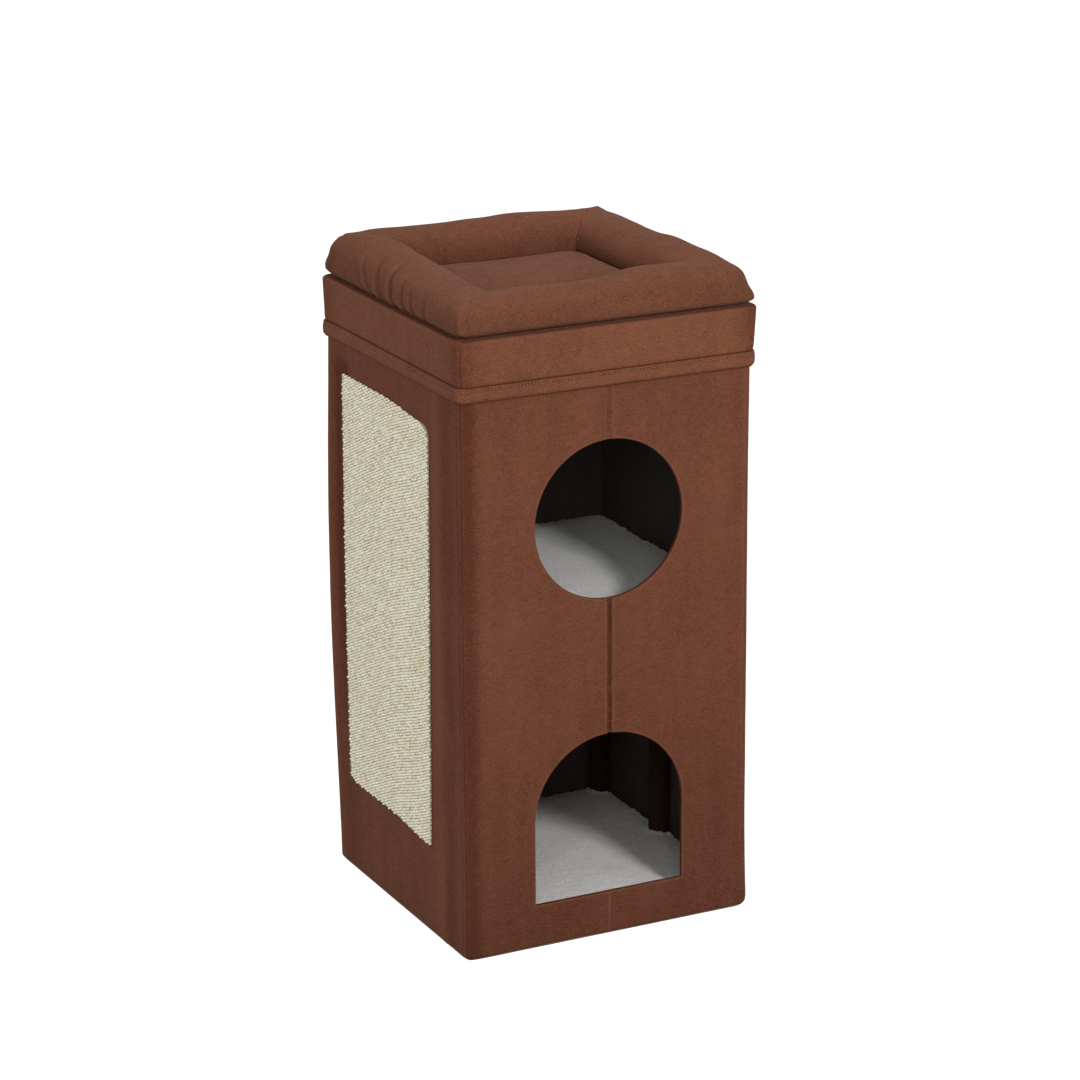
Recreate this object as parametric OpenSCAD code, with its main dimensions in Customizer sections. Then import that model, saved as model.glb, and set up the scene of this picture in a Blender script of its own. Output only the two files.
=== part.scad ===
// Three-storey folding pet tower: suede-covered walls, a fleece floor and shelf,
// a lift-off lid and a bolster bed. Origin at the centre of the base, front toward -Y.

/* [Tower] */
// Width of the tower over its cover
tower_w = 384; // [330:1:460]
// Depth of the tower over its cover
tower_d = 384; // [330:1:460]
// Height of the walls above the ground
wall_h = 760; // [700:1:860]
// Radius of the upright corners over the cover
corner_r = 9; // [7:0.5:16]

/* [Walls] */
// Thickness of the suede cover
cover_t = 1.2; // [0.9:0.1:2]
// Thickness of the hardboard panels
board_t = 3.5; // [2.5:0.1:5]
// Thickness of the dark lining
lining_t = 0.8; // [0.5:0.1:1.5]
// Thickness of the cloth sewn across the bottom
base_t = 1; // [0.6:0.1:2]
// Width of the fold down the front and the back
crease_w = 4; // [3:0.5:8]
// Depth to which the cover is drawn into the fold
crease_depth = 0.7; // [0.4:0.1:0.8]

/* [Doorways] */
// Diameter of the round doorway
round_d = 200; // [150:1:220]
// Height of the round doorway's centre
round_z = 529; // [515:1:560]
// Width of the arched doorway
arch_w = 204; // [150:1:230]
// Height of the arched doorway's sill
arch_sill_z = 53; // [40:1:70]
// Height of the arch from sill to crown
arch_h = 209; // [160:1:230]
// Thickness of the suede turned in round each cut edge
binding_t = 1; // [0.6:0.1:1.6]

/* [Scratch pad] */
// Wall left in front of the scratch pad
pad_front_margin = 89; // [60:1:110]
// Wall left behind the scratch pad
pad_back_margin = 46; // [24:1:70]
// Wall left below the scratch pad
pad_low_margin = 121; // [90:1:160]
// Wall left above the scratch pad
pad_high_margin = 106; // [92:1:160]
// Radius of the scratch pad's front top and back bottom corners
pad_corner_r = 18; // [8:1:40]
// Radius of its two sharper corners
pad_tip_r = 4; // [2:0.5:20]
// Thickness of the woven scratch pad
pad_t = 3.5; // [2:0.1:6]

/* [Floor and shelf] */
// Height of the floor pad's crown above the ground
floor_top_z = 36; // [26:1:44]
// Height of the shelf pad's crown above the ground
shelf_top_z = 412; // [384:1:424]
// Thickness of the shelf pad at its crown
shelf_pad_h = 26; // [16:1:36]
// Thickness of the floor board and the shelf board
insert_board_t = 4; // [3:0.1:6]
// Gap between the lining and the floor or shelf
insert_gap = 2; // [1:0.1:5]
// Radius of the floor's and shelf's corners
insert_r = 12; // [6:1:20]
// Rise of a fleece pad from its edge to its middle
fleece_crown = 5; // [2:0.5:8]

/* [Posts] */
// Diameter of a post's wooden core
post_d = 22; // [16:1:28]
// Thickness of the suede sleeve on a post
sleeve_t = 1.2; // [0.8:0.1:2]
// Width of the seam that sews a sleeve to the wall
sleeve_seam_w = 8; // [5:0.5:12]
// Distance of a post's sleeve from the lining beside it
post_stand_off = 1.5; // [1:0.1:3]
// Distance of an end post's axis from the front or back lining
post_end_gap = 22; // [20:1:40]

/* [Lid] */
// Thickness of the board in the lid
lid_board_t = 4.5; // [3:0.1:8]
// Height of the lid's skirt
skirt_h = 74; // [50:1:90]
// Thickness of the skirt's doubled suede
skirt_t = 1.8; // [1.2:0.1:3]
// Gap between the tower and the lower edge of the skirt
skirt_gap = 0.8; // [0.5:0.1:2]
// Width by which the skirt flares from its lower edge to its top
skirt_flare = 4.5; // [2:0.1:8]
// Height of the stitched band round the lower edge
hem_h = 18.6; // [12:0.1:26]
// Thickness of the stitched band
hem_t = 1; // [0.6:0.1:2]

/* [Bed] */
// Width of a bolster
bolster_w = 85; // [60:1:100]
// Height of the front bolster at its middle
front_bolster_h = 46; // [36:1:60]
// Height of the back bolster at its middle, to which the side ones rise
back_bolster_h = 56; // [36:1:66]
// Loss of a bolster's height at its mitred ends
bolster_end_drop = 2; // [1:0.5:10]
// Radius of the bed's outer corners
bed_corner_r = 24; // [22:1:40]
// Thickness of the cloth under the bed
bed_base_t = 1; // [0.6:0.1:2]
// Height of the bed pad at its crown
bed_pad_h = 24; // [14:1:34]
// Rise of the bed pad from its edge to its middle
bed_crown = 7; // [2:0.5:10]
// Distance of the bed's outer face inside the lid's edge
bed_inset = 0.5; // [0.2:0.1:4]
// Distance of the base cloth's edge inside the bolsters' outer face
bed_base_inset = 10; // [4:0.5:20]

/* [Hidden] */
$fn = 72;

// Overrun of every cut past the faces that it goes through
overrun = 2;
// Gap between a loose piece and what it rests on
rest_gap = 0.3;
// Gap at a sewn joint between soft pieces
sew_gap = 0.2;
// Gap between the bed pad and the bolsters round it
bed_fit_gap = 0.6;

// Shares that shape the padding: roll of a pad's edge, height of a bolster's widest line,
// and how round a bolster's section is above and below that line
pad_roll_share = 0.45;
bolster_belly_share = 0.4;
bolster_crown_share = 0.85;
bolster_base_share = 0.55;
// Steps along a bolster, round its section, round a pad's corner,
// up its rolled edge and across its crown
bolster_steps = 22;
bolster_section_steps = 16;
pad_corner_steps = 5;
pad_edge_steps = 6;
pad_crown_steps = 5;

// Stack of the walls, from the cover inward
wall_t = cover_t + board_t + lining_t;
fold_r = (crease_w * crease_w / 4 + crease_depth * crease_depth) / (2 * crease_depth);

// Room inside the lining
room_w = tower_w - 2 * wall_t;
room_d = tower_d - 2 * wall_t;

// Scratch pad, on the outside of the left wall
pad_w = tower_d - pad_front_margin - pad_back_margin;
pad_h = wall_h - pad_low_margin - pad_high_margin;
pad_y = (pad_front_margin - pad_back_margin) / 2;
pad_z = (wall_h + pad_low_margin - pad_high_margin) / 2;

// Levels of the floor, the shelf and the posts
insert_w = room_w - 2 * insert_gap;
insert_d = room_d - 2 * insert_gap;
floor_pad_z = base_t + insert_board_t;
shelf_pad_z = shelf_top_z - shelf_pad_h;
shelf_board_z = shelf_pad_z - insert_board_t;
post_z = floor_top_z + rest_gap;
post_h = shelf_board_z - rest_gap - post_z;
sleeve_r = post_d / 2 + sleeve_t;

// Levels and half sizes of the lid
lid_z = wall_h + rest_gap;
lid_board_z = lid_z + lining_t;
lid_cover_z = lid_board_z + lid_board_t;
lid_top_z = lid_cover_z + cover_t;
hem_z = lid_top_z - skirt_h;
skirt_in_r = corner_r + skirt_gap;
skirt_out_r = skirt_in_r + skirt_t;
lid_grow = skirt_gap + skirt_flare * (lid_z - hem_z) / skirt_h - sew_gap;
lid_w = tower_w + 2 * lid_grow;
lid_d = tower_d + 2 * lid_grow;
lid_r = corner_r + lid_grow;

// Levels and half sizes of the bed
bed_z = lid_top_z + rest_gap;
bed_soft_z = bed_z + bed_base_t;
bed_hw = tower_w / 2 + skirt_gap + skirt_t + skirt_flare - bed_inset;
bed_hd = tower_d / 2 + skirt_gap + skirt_t + skirt_flare - bed_inset;
well_w = 2 * (bed_hw - bolster_w - bed_fit_gap);
well_d = 2 * (bed_hd - bolster_w - bed_fit_gap);

suede = "#6e4332";
suede_dark = "#5d3a2b";
lining_colour = "#2a1d18";
hardboard = "#8b6a48";
dowel = "#c9a877";
fleece = "#d6d2c8";
sisal = "#c4bca6";

// Flat outlines

module rounded_plan(w, d, r) {
    square([w - 2 * r, d], center = true);
    square([w, d - 2 * r], center = true);
    for (sx = [-1, 1], sy = [-1, 1])
        translate([sx * (w / 2 - r), sy * (d / 2 - r)])
            circle(r);
}

module round_outline(grow) {
    translate([0, round_z])
        circle(round_d / 2 + grow);
}

module arch_outline(grow) {
    r = arch_w / 2 + grow;
    spring_z = arch_sill_z + arch_h - arch_w / 2;
    translate([0, spring_z])
        circle(r);
    translate([-r, arch_sill_z - grow])
        square([2 * r, spring_z - arch_sill_z + grow]);
}

// What rounding a corner of the scratch pad takes off, toward side sy across and side sz up
module pad_corner_cut(sy, sz, r) {
    translate([sy * (pad_w / 2 - r), sz * (pad_h / 2 - r)])
        difference() {
            translate([sy > 0 ? 0 : -r - overrun, sz > 0 ? 0 : -r - overrun])
                square(r + overrun);
            circle(r);
        }
}

module pad_outline() {
    translate([pad_y, pad_z])
        difference() {
            square([pad_w, pad_h], center = true);
            pad_corner_cut(-1, 1, pad_corner_r);
            pad_corner_cut(1, -1, pad_corner_r);
            pad_corner_cut(1, 1, pad_tip_r);
            pad_corner_cut(-1, -1, pad_tip_r);
        }
}

// Upright sheets: an outline drawn across and up, given a thickness toward +Y or +X

module sheet_facing_y(y, t) {
    translate([0, y + t, 0])
        rotate([90, 0, 0])
            linear_extrude(t)
                children();
}

module sheet_facing_x(x, t) {
    translate([x, 0, 0])
        rotate([90, 0, 90])
            linear_extrude(t)
                children();
}

// Solids shared by several pieces

module slab(w, d, r, z, t) {
    translate([0, 0, z])
        linear_extrude(t)
            rounded_plan(w, d, r);
}

// Quarter of the plan that one side's cloth fills, cut at 45 degrees through the corner centres
module side_wedge(w, d, r, z, h) {
    reach = w;
    cx = w / 2 - r;
    cy = d / 2 - r;
    translate([0, 0, z])
        linear_extrude(h)
            polygon([[-cx, -cy], [-cx - reach, -cy - reach], [cx + reach, -cy - reach], [cx, -cy]]);
}

module cover_panel(w, d) {
    intersection() {
        difference() {
            slab(w, d, corner_r, 0, wall_h);
            translate([0, 0, -overrun])
                slab(w - 2 * cover_t, d - 2 * cover_t, corner_r - cover_t, 0, wall_h + 2 * overrun);
        }
        side_wedge(w, d, corner_r, 0, wall_h);
    }
}

// Round-bottomed groove where the cover is drawn into the fold
module fold_groove(w, d) {
    translate([0, -d / 2 - fold_r + crease_depth, -overrun])
        cylinder(r = fold_r, h = wall_h + 2 * overrun);
}

// Block with upright corner axes whose sides lean out by flare over its height
module flared_block(w, d, r, flare, z, h) {
    cx = w / 2 - r;
    cy = d / 2 - r;
    translate([0, 0, z]) {
        sheet_facing_y(-cy, 2 * cy)
            polygon([[-w / 2, 0], [w / 2, 0], [w / 2 + flare, h], [-w / 2 - flare, h]]);
        sheet_facing_x(-cx, 2 * cx)
            polygon([[-d / 2, 0], [d / 2, 0], [d / 2 + flare, h], [-d / 2 - flare, h]]);
        for (sx = [-1, 1], sy = [-1, 1])
            translate([sx * cx, sy * cy, 0])
                cylinder(r1 = r, r2 = r + flare, h = h);
    }
}

module skirt_panel(w, d) {
    in_w = w + 2 * skirt_gap;
    in_d = d + 2 * skirt_gap;
    lean = skirt_flare / skirt_h;
    intersection() {
        difference() {
            flared_block(in_w + 2 * skirt_t, in_d + 2 * skirt_t, skirt_out_r, skirt_flare, hem_z, skirt_h);
            flared_block(in_w - 2 * overrun * lean, in_d - 2 * overrun * lean, skirt_in_r - overrun * lean,
                skirt_flare + 2 * overrun * lean, hem_z - overrun, skirt_h + 2 * overrun);
        }
        side_wedge(w, d, corner_r, hem_z, skirt_h);
    }
}

// Cushions

function signed_power(v, e) = sign(v) * pow(abs(v), e);

// Outline of a pad, once round, scaled toward its middle
function pad_ring(w, d, r, scale_share, z) = [
    for (corner = [0 : 3], step = [0 : pad_corner_steps])
        let (turn = 90 * (corner + step / pad_corner_steps),
             sx = (corner == 0 || corner == 3) ? 1 : -1,
             sy = corner < 2 ? 1 : -1)
            [scale_share * (sx * (w / 2 - r) + r * cos(turn)),
             scale_share * (sy * (d / 2 - r) + r * sin(turn)), z]
];

// Crowned pad with rolled, drawn-in sides, resting on z = 0
module cushion(w, d, r, h, crown) {
    edge_h = h - crown;
    roll = edge_h * pad_roll_share;
    half = min(w, d) / 2;
    edge_rings = [
        for (step = [0 : pad_edge_steps])
            let (turn = -90 + 180 * step / pad_edge_steps)
                [1 - roll * (1 - cos(turn)) / half, edge_h * (1 + sin(turn)) / 2]
    ];
    crown_rings = [
        for (step = [1 : pad_crown_steps - 1])
            let (share = (1 - roll / half) * (1 - step / pad_crown_steps))
                [share, edge_h + crown * (1 - share * share)]
    ];
    rings = concat(edge_rings, crown_rings);
    n = 4 * (pad_corner_steps + 1);
    last = len(rings) - 1;
    side_points = [for (ring = rings) each pad_ring(w, d, r, ring[0], ring[1])];
    points = concat(side_points, [[0, 0, 0], [0, 0, h]]);
    low = len(side_points);
    high = low + 1;
    faces = concat(
        [for (i = [0 : last - 1], j = [0 : n - 1]) [i * n + j, (i + 1) * n + j, (i + 1) * n + (j + 1) % n]],
        [for (i = [0 : last - 1], j = [0 : n - 1]) [i * n + j, (i + 1) * n + (j + 1) % n, i * n + (j + 1) % n]],
        [for (j = [0 : n - 1]) [low, j, (j + 1) % n]],
        [for (j = [0 : n - 1]) [high, last * n + (j + 1) % n, last * n + j]]
    );
    polyhedron(points, faces);
}

// End of a bolster's run at a depth in from the bed's outer face, on the mitre
function mitre_x(hw, q) =
    (q < bed_corner_r ? hw - bed_corner_r + (bed_corner_r - q) * sqrt(1 / 2) : hw - q) - sew_gap;

// Place across the bed of a point at x, a depth in from the rounded outer face
function bolster_y(hw, hd, q, x) =
    let (past = abs(x) - (hw - bed_corner_r), r = bed_corner_r - q)
        r > 0 && past > 0 ? -(hd - bed_corner_r) - sqrt(max(r * r - past * past, 0)) : -(hd - q);

function bolster_point(hw, hd, h0, h1, along, turn) =
    let (roundness = sin(turn) > 0 ? bolster_crown_share : bolster_base_share,
         q = bolster_w / 2 * (1 - signed_power(cos(turn), roundness)),
         x = along * mitre_x(hw, q),
         h = (h0 + h1) / 2 + (h1 - h0) / 2 * along - bolster_end_drop * pow(along, 6),
         belly = h * bolster_belly_share,
         rise = signed_power(sin(turn), roundness))
        [x, bolster_y(hw, hd, q, x), belly + (rise > 0 ? h - belly : belly) * rise];

// Stuffed roll along the front of a bed of half sizes hw and hd, mitred at both ends,
// of height h0 toward -X and h1 toward +X
module bolster(hw, hd, h0, h1) {
    m = bolster_section_steps;
    points = [
        for (i = [0 : bolster_steps], j = [0 : m - 1])
            bolster_point(hw, hd, h0, h1, sin(180 * i / bolster_steps - 90), 360 * j / m)
    ];
    last = bolster_steps * m;
    faces = concat(
        [for (i = [0 : bolster_steps - 1], j = [0 : m - 1])
            [i * m + j, i * m + (j + 1) % m, (i + 1) * m + (j + 1) % m]],
        [for (i = [0 : bolster_steps - 1], j = [0 : m - 1])
            [i * m + j, (i + 1) * m + (j + 1) % m, (i + 1) * m + j]],
        [for (j = [1 : m - 2]) [0, j + 1, j]],
        [for (j = [1 : m - 2]) [last, last + j, last + j + 1]]
    );
    translate([0, 0, bed_soft_z])
        polyhedron(points, faces);
}

// Tower walls

module base_cloth() {
    color(lining_colour)
        slab(tower_w - 2 * cover_t - 2 * sew_gap, tower_d - 2 * cover_t - 2 * sew_gap,
            corner_r - cover_t, 0, base_t);
}

// Board along a side wall, stopping where the corners begin to turn
module side_board(x) {
    sheet_facing_x(x, board_t)
        translate([corner_r - tower_d / 2, base_t])
            square([tower_d - 2 * corner_r, wall_h - base_t]);
}

// Half of the front or back wall, on one side of the fold
module half_board_outline(side) {
    half_w = tower_w / 2 - corner_r - crease_w / 2;
    translate([side > 0 ? crease_w / 2 : -crease_w / 2 - half_w, base_t])
        square([half_w, wall_h - base_t]);
}

module front_half_board(side) {
    color(hardboard)
        sheet_facing_y(cover_t - tower_d / 2, board_t)
            difference() {
                half_board_outline(side);
                round_outline(binding_t);
                arch_outline(binding_t);
            }
}

module back_half_board(side) {
    color(hardboard)
        sheet_facing_y(tower_d / 2 - cover_t - board_t, board_t)
            half_board_outline(side);
}

module left_wall_board() {
    color(hardboard)
        side_board(cover_t - tower_w / 2);
}

module right_wall_board() {
    color(hardboard)
        side_board(tower_w / 2 - cover_t - board_t);
}

module front_left_board() {
    front_half_board(-1);
}

module front_right_board() {
    front_half_board(1);
}

module back_left_board() {
    back_half_board(-1);
}

module back_right_board() {
    back_half_board(1);
}

module front_wall_cover() {
    color(suede)
        difference() {
            cover_panel(tower_w, tower_d);
            fold_groove(tower_w, tower_d);
            sheet_facing_y(-tower_d / 2 - overrun, cover_t + 2 * overrun)
                round_outline(0);
            sheet_facing_y(-tower_d / 2 - overrun, cover_t + 2 * overrun)
                arch_outline(0);
        }
}

module back_wall_cover() {
    color(suede)
        rotate([0, 0, 180])
            difference() {
                cover_panel(tower_w, tower_d);
                fold_groove(tower_w, tower_d);
            }
}

module left_wall_cover() {
    color(suede_dark)
        rotate([0, 0, -90])
            cover_panel(tower_d, tower_w);
}

module right_wall_cover() {
    color(suede_dark)
        rotate([0, 0, 90])
            cover_panel(tower_d, tower_w);
}

// Lining sheets: the side ones run the full depth, the front and back ones fit between them

module side_lining(x) {
    color(lining_colour)
        sheet_facing_x(x, lining_t)
            translate([-room_d / 2 - lining_t, base_t])
                square([room_d + 2 * lining_t, wall_h - base_t]);
}

module cross_lining_outline() {
    translate([-room_w / 2, base_t])
        square([room_w, wall_h - base_t]);
}

module left_wall_lining() {
    side_lining(-room_w / 2 - lining_t);
}

module right_wall_lining() {
    side_lining(room_w / 2);
}

module front_wall_lining() {
    color(lining_colour)
        sheet_facing_y(-room_d / 2 - lining_t, lining_t)
            difference() {
                cross_lining_outline();
                round_outline(binding_t);
                arch_outline(binding_t);
            }
}

module back_wall_lining() {
    color(lining_colour)
        sheet_facing_y(room_d / 2, lining_t)
            cross_lining_outline();
}

// Turned-in edges and the scratch pad

module round_doorway_binding() {
    color(suede)
        sheet_facing_y(cover_t - tower_d / 2, board_t + lining_t)
            difference() {
                round_outline(binding_t);
                round_outline(0);
            }
}

module arch_doorway_binding() {
    color(suede)
        sheet_facing_y(cover_t - tower_d / 2, board_t + lining_t)
            difference() {
                arch_outline(binding_t);
                arch_outline(0);
            }
}

module scratch_pad() {
    color(sisal)
        sheet_facing_x(-tower_w / 2 - sew_gap - pad_t, pad_t)
            pad_outline();
}

// Posts: a core and its sleeve at one of three places along a side wall

function post_x(side) = side * (room_w / 2 - post_stand_off - sleeve_r);

function post_y(row) = row * (room_d / 2 - post_end_gap);

module post_core(side, row) {
    color(dowel)
        translate([post_x(side), post_y(row), post_z])
            cylinder(d = post_d, h = post_h);
}

module post_sleeve(side, row) {
    seam_x = post_x(side) + (side > 0 ? 0 : -sleeve_r - post_stand_off);
    color(suede)
        difference() {
            union() {
                translate([post_x(side), post_y(row), post_z])
                    cylinder(r = sleeve_r, h = post_h);
                translate([seam_x, post_y(row) - sleeve_seam_w / 2, post_z])
                    cube([sleeve_r + post_stand_off, sleeve_seam_w, post_h]);
            }
            translate([post_x(side), post_y(row), post_z - overrun])
                cylinder(d = post_d, h = post_h + 2 * overrun);
        }
}

// Floor and shelf

module floor_board() {
    color(hardboard)
        slab(insert_w, insert_d, insert_r, base_t, insert_board_t);
}

module floor_pad() {
    color(fleece)
        translate([0, 0, floor_pad_z])
            cushion(insert_w, insert_d, insert_r, floor_top_z - floor_pad_z, fleece_crown);
}

module shelf_board() {
    color(hardboard)
        slab(insert_w, insert_d, insert_r, shelf_board_z, insert_board_t);
}

module shelf_pad() {
    color(fleece)
        translate([0, 0, shelf_pad_z])
            cushion(insert_w, insert_d, insert_r, shelf_pad_h, fleece_crown);
}

// Lid

module lid_board() {
    color(hardboard)
        slab(lid_w, lid_d, lid_r, lid_board_z, lid_board_t);
}

module lid_lining() {
    color(lining_colour)
        slab(lid_w, lid_d, lid_r, lid_z, lining_t);
}

module lid_top_cover() {
    color(suede)
        slab(lid_w, lid_d, lid_r, lid_cover_z, cover_t);
}

module skirt_front() {
    color(suede)
        skirt_panel(tower_w, tower_d);
}

module skirt_back() {
    color(suede)
        rotate([0, 0, 180])
            skirt_panel(tower_w, tower_d);
}

module skirt_left() {
    color(suede_dark)
        rotate([0, 0, -90])
            skirt_panel(tower_d, tower_w);
}

module skirt_right() {
    color(suede_dark)
        rotate([0, 0, 90])
            skirt_panel(tower_d, tower_w);
}

module hem_band() {
    out_w = tower_w + 2 * (skirt_gap + skirt_t);
    out_d = tower_d + 2 * (skirt_gap + skirt_t);
    lean = skirt_flare / skirt_h;
    color(suede)
        difference() {
            flared_block(out_w + 2 * hem_t, out_d + 2 * hem_t, skirt_out_r + hem_t, hem_h * lean, hem_z, hem_h);
            flared_block(out_w - 2 * overrun * lean, out_d - 2 * overrun * lean, skirt_out_r - overrun * lean,
                (hem_h + 2 * overrun) * lean, hem_z - overrun, hem_h + 2 * overrun);
        }
}

// Bed

module bed_base_cloth() {
    color(suede)
        slab(2 * (bed_hw - bed_base_inset), 2 * (bed_hd - bed_base_inset), bed_corner_r - bed_base_inset,
            bed_z, bed_base_t);
}

module bed_pad() {
    color(suede)
        translate([0, 0, bed_soft_z])
            cushion(well_w, well_d, bed_corner_r, bed_pad_h, bed_crown);
}

module front_bolster() {
    color(suede)
        bolster(bed_hw, bed_hd, front_bolster_h, front_bolster_h);
}

module back_bolster() {
    color(suede)
        rotate([0, 0, 180])
            bolster(bed_hw, bed_hd, back_bolster_h, back_bolster_h);
}

module left_bolster() {
    color(suede_dark)
        rotate([0, 0, -90])
            bolster(bed_hd, bed_hw, back_bolster_h, front_bolster_h);
}

module right_bolster() {
    color(suede_dark)
        rotate([0, 0, 90])
            bolster(bed_hd, bed_hw, front_bolster_h, back_bolster_h);
}

base_cloth();
left_wall_board();
right_wall_board();
front_left_board();
front_right_board();
back_left_board();
back_right_board();
left_wall_cover();
right_wall_cover();
front_wall_cover();
back_wall_cover();
left_wall_lining();
right_wall_lining();
front_wall_lining();
back_wall_lining();
round_doorway_binding();
arch_doorway_binding();
scratch_pad();
post_core(-1, -1);  // left_front_post
post_core(-1, 0);  // left_middle_post
post_core(-1, 1);  // left_back_post
post_core(1, -1);  // right_front_post
post_core(1, 0);  // right_middle_post
post_core(1, 1);  // right_back_post
post_sleeve(-1, -1);  // left_front_sleeve
post_sleeve(-1, 0);  // left_middle_sleeve
post_sleeve(-1, 1);  // left_back_sleeve
post_sleeve(1, -1);  // right_front_sleeve
post_sleeve(1, 0);  // right_middle_sleeve
post_sleeve(1, 1);  // right_back_sleeve
floor_board();
floor_pad();
shelf_board();
shelf_pad();
lid_board();
lid_lining();
lid_top_cover();
skirt_front();
skirt_back();
skirt_left();
skirt_right();
hem_band();
bed_base_cloth();
bed_pad();
front_bolster();
back_bolster();
left_bolster();
right_bolster();
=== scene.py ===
# %% [markdown]
# # A folding suede tower
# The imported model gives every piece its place: four padded walls with two doorways and a woven
# scratching pad, two fleece floors, a lid with a sewn skirt, and a bed with four stuffed rolls on top.
# This lesson dresses that frame. Each piece takes its size and place from the frame's own boxes. How the
# cloth has settled, creased and worn follows the photograph.

# %% Load the frame
import math

import bpy
import numpy as np
from mathutils import Matrix, Vector, noise


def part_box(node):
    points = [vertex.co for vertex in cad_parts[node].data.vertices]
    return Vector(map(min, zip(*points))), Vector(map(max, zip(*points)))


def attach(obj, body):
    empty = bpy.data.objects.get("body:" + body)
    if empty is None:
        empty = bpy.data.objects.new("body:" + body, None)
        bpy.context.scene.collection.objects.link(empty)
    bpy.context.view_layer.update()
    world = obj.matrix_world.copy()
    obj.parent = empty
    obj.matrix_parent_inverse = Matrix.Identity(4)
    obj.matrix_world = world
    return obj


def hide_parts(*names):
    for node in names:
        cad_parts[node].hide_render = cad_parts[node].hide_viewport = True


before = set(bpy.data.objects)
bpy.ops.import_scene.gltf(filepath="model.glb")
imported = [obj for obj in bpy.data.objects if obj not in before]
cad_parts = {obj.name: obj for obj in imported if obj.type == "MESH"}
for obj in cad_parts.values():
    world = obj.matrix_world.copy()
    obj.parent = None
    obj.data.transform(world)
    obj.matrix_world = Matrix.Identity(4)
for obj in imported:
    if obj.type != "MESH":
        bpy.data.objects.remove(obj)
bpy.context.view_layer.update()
scene = bpy.context.scene

# %% [markdown]
# ## Camera
# The photograph looks down from the front left through a long lens, so upright edges stay almost
# parallel. The camera's place, turn and lens come from the corners of the tower.

# %% Camera
LENS_MM = 121.08
SENSOR_MM = 36
CAMERA_PLACE = Vector((-1.9014, -3.8285, 1.7781))
YAW = math.radians(26.457)
PITCH = math.radians(17.253)
ROLL = math.radians(-0.359)

ahead = Vector((math.sin(YAW) * math.cos(PITCH), math.cos(YAW) * math.cos(PITCH), -math.sin(PITCH)))
level_right = Vector((math.cos(YAW), -math.sin(YAW), 0))
level_up = level_right.cross(ahead)
right = math.cos(ROLL) * level_right + math.sin(ROLL) * level_up
up = -math.sin(ROLL) * level_right + math.cos(ROLL) * level_up
turn = Matrix((right, up, -ahead)).transposed()

camera_data = bpy.data.cameras.new("camera")
camera_data.lens = LENS_MM
camera_data.sensor_width = SENSOR_MM
camera = bpy.data.objects.new("camera", camera_data)
camera.matrix_world = Matrix.Translation(CAMERA_PLACE) @ turn.to_4x4()
scene.collection.objects.link(camera)
scene.camera = camera
print("camera", tuple(round(c, 3) for c in CAMERA_PLACE), "lens", LENS_MM)

# %% [markdown]
# ## A small language for finishes
# A shader is easier to read as a sum than as a web of nodes. A Wire holds one node output, and the
# operators on it add Math nodes. A Wiring has one method that makes any other node, and a Finish is one
# material that is wired this way.

# %% Wires and finishes


class Wire:
    """One node output that can stand in a sum."""

    def __init__(self, wiring, socket):
        self.wiring = wiring
        self.socket = socket

    def math(self, operation, first, second):
        return self.wiring.node("ShaderNodeMath", {"operation": operation}, {0: first, 1: second})

    def __add__(self, other):
        return self.math("ADD", self, other)

    def __radd__(self, other):
        return self.math("ADD", other, self)

    def __sub__(self, other):
        return self.math("SUBTRACT", self, other)

    def __rsub__(self, other):
        return self.math("SUBTRACT", other, self)

    def __mul__(self, other):
        return self.math("MULTIPLY", self, other)


class Wiring:
    """A node tree: one method makes any node and feeds it values or wires."""

    def __init__(self, tree):
        self.tree = tree

    def node(self, kind, settings=None, values=None, out=0):
        made = self.tree.nodes.new(kind)
        for key, value in (settings or {}).items():
            setattr(made, key, value)
        for key, value in (values or {}).items():
            self.feed(made.inputs[key], value)
        return Wire(self, made.outputs[out])

    def feed(self, socket, value):
        if isinstance(value, Wire):
            self.tree.links.new(value.socket, socket)
        else:
            socket.default_value = value

    def background_rays(self):
        """1 for the rays that should see a white background."""
        names = ("Is Camera Ray", "Is Glossy Ray", "Is Transmission Ray")
        camera_ray, glossy_ray, clear_ray = [self.node("ShaderNodeLightPath", out=name) for name in names]
        return camera_ray + glossy_ray + clear_ray


class Finish(Wiring):
    """One material, with a Principled shader that its nodes feed."""

    def __init__(self, name):
        self.material = bpy.data.materials.new(name)
        self.material.use_nodes = True
        super().__init__(self.material.node_tree)
        self.shader = self.tree.nodes["Principled BSDF"]

    def set(self, **values):
        for key, value in values.items():
            self.feed(self.shader.inputs[key.replace("_", " ")], value)

    def place(self, stretch=(1, 1, 1), turned=(0, 0, 0)):
        where = self.node("ShaderNodeTexCoord", out="Object")
        if stretch == (1, 1, 1) and turned == (0, 0, 0):
            return where
        return self.node(
            "ShaderNodeMapping", None, {"Vector": where, "Scale": stretch, "Rotation": turned}
        )

    def clouds(self, where, per_metre, detail):
        values = {"Vector": where, "Scale": per_metre, "Detail": detail}
        return self.node("ShaderNodeTexNoise", None, values) - 0.5

    def painted(self, name):
        return self.node("ShaderNodeAttribute", {"attribute_name": name}, out="Fac")

    def between(self, share, low, high):
        ends = [end if isinstance(end, Wire) else (*end, 1) for end in (low, high)]
        values = {0: share, 6: ends[0], 7: ends[1]}
        return self.node("ShaderNodeMix", {"data_type": "RGBA"}, values, out=2)

    def above(self, value, low, high):
        values = {"Value": value, "From Min": low, "From Max": high}
        return self.node("ShaderNodeMapRange", None, values)

    def relief(self, height, strength, distance):
        values = {"Height": height, "Strength": strength, "Distance": distance}
        return self.node("ShaderNodeBump", None, values)


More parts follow.
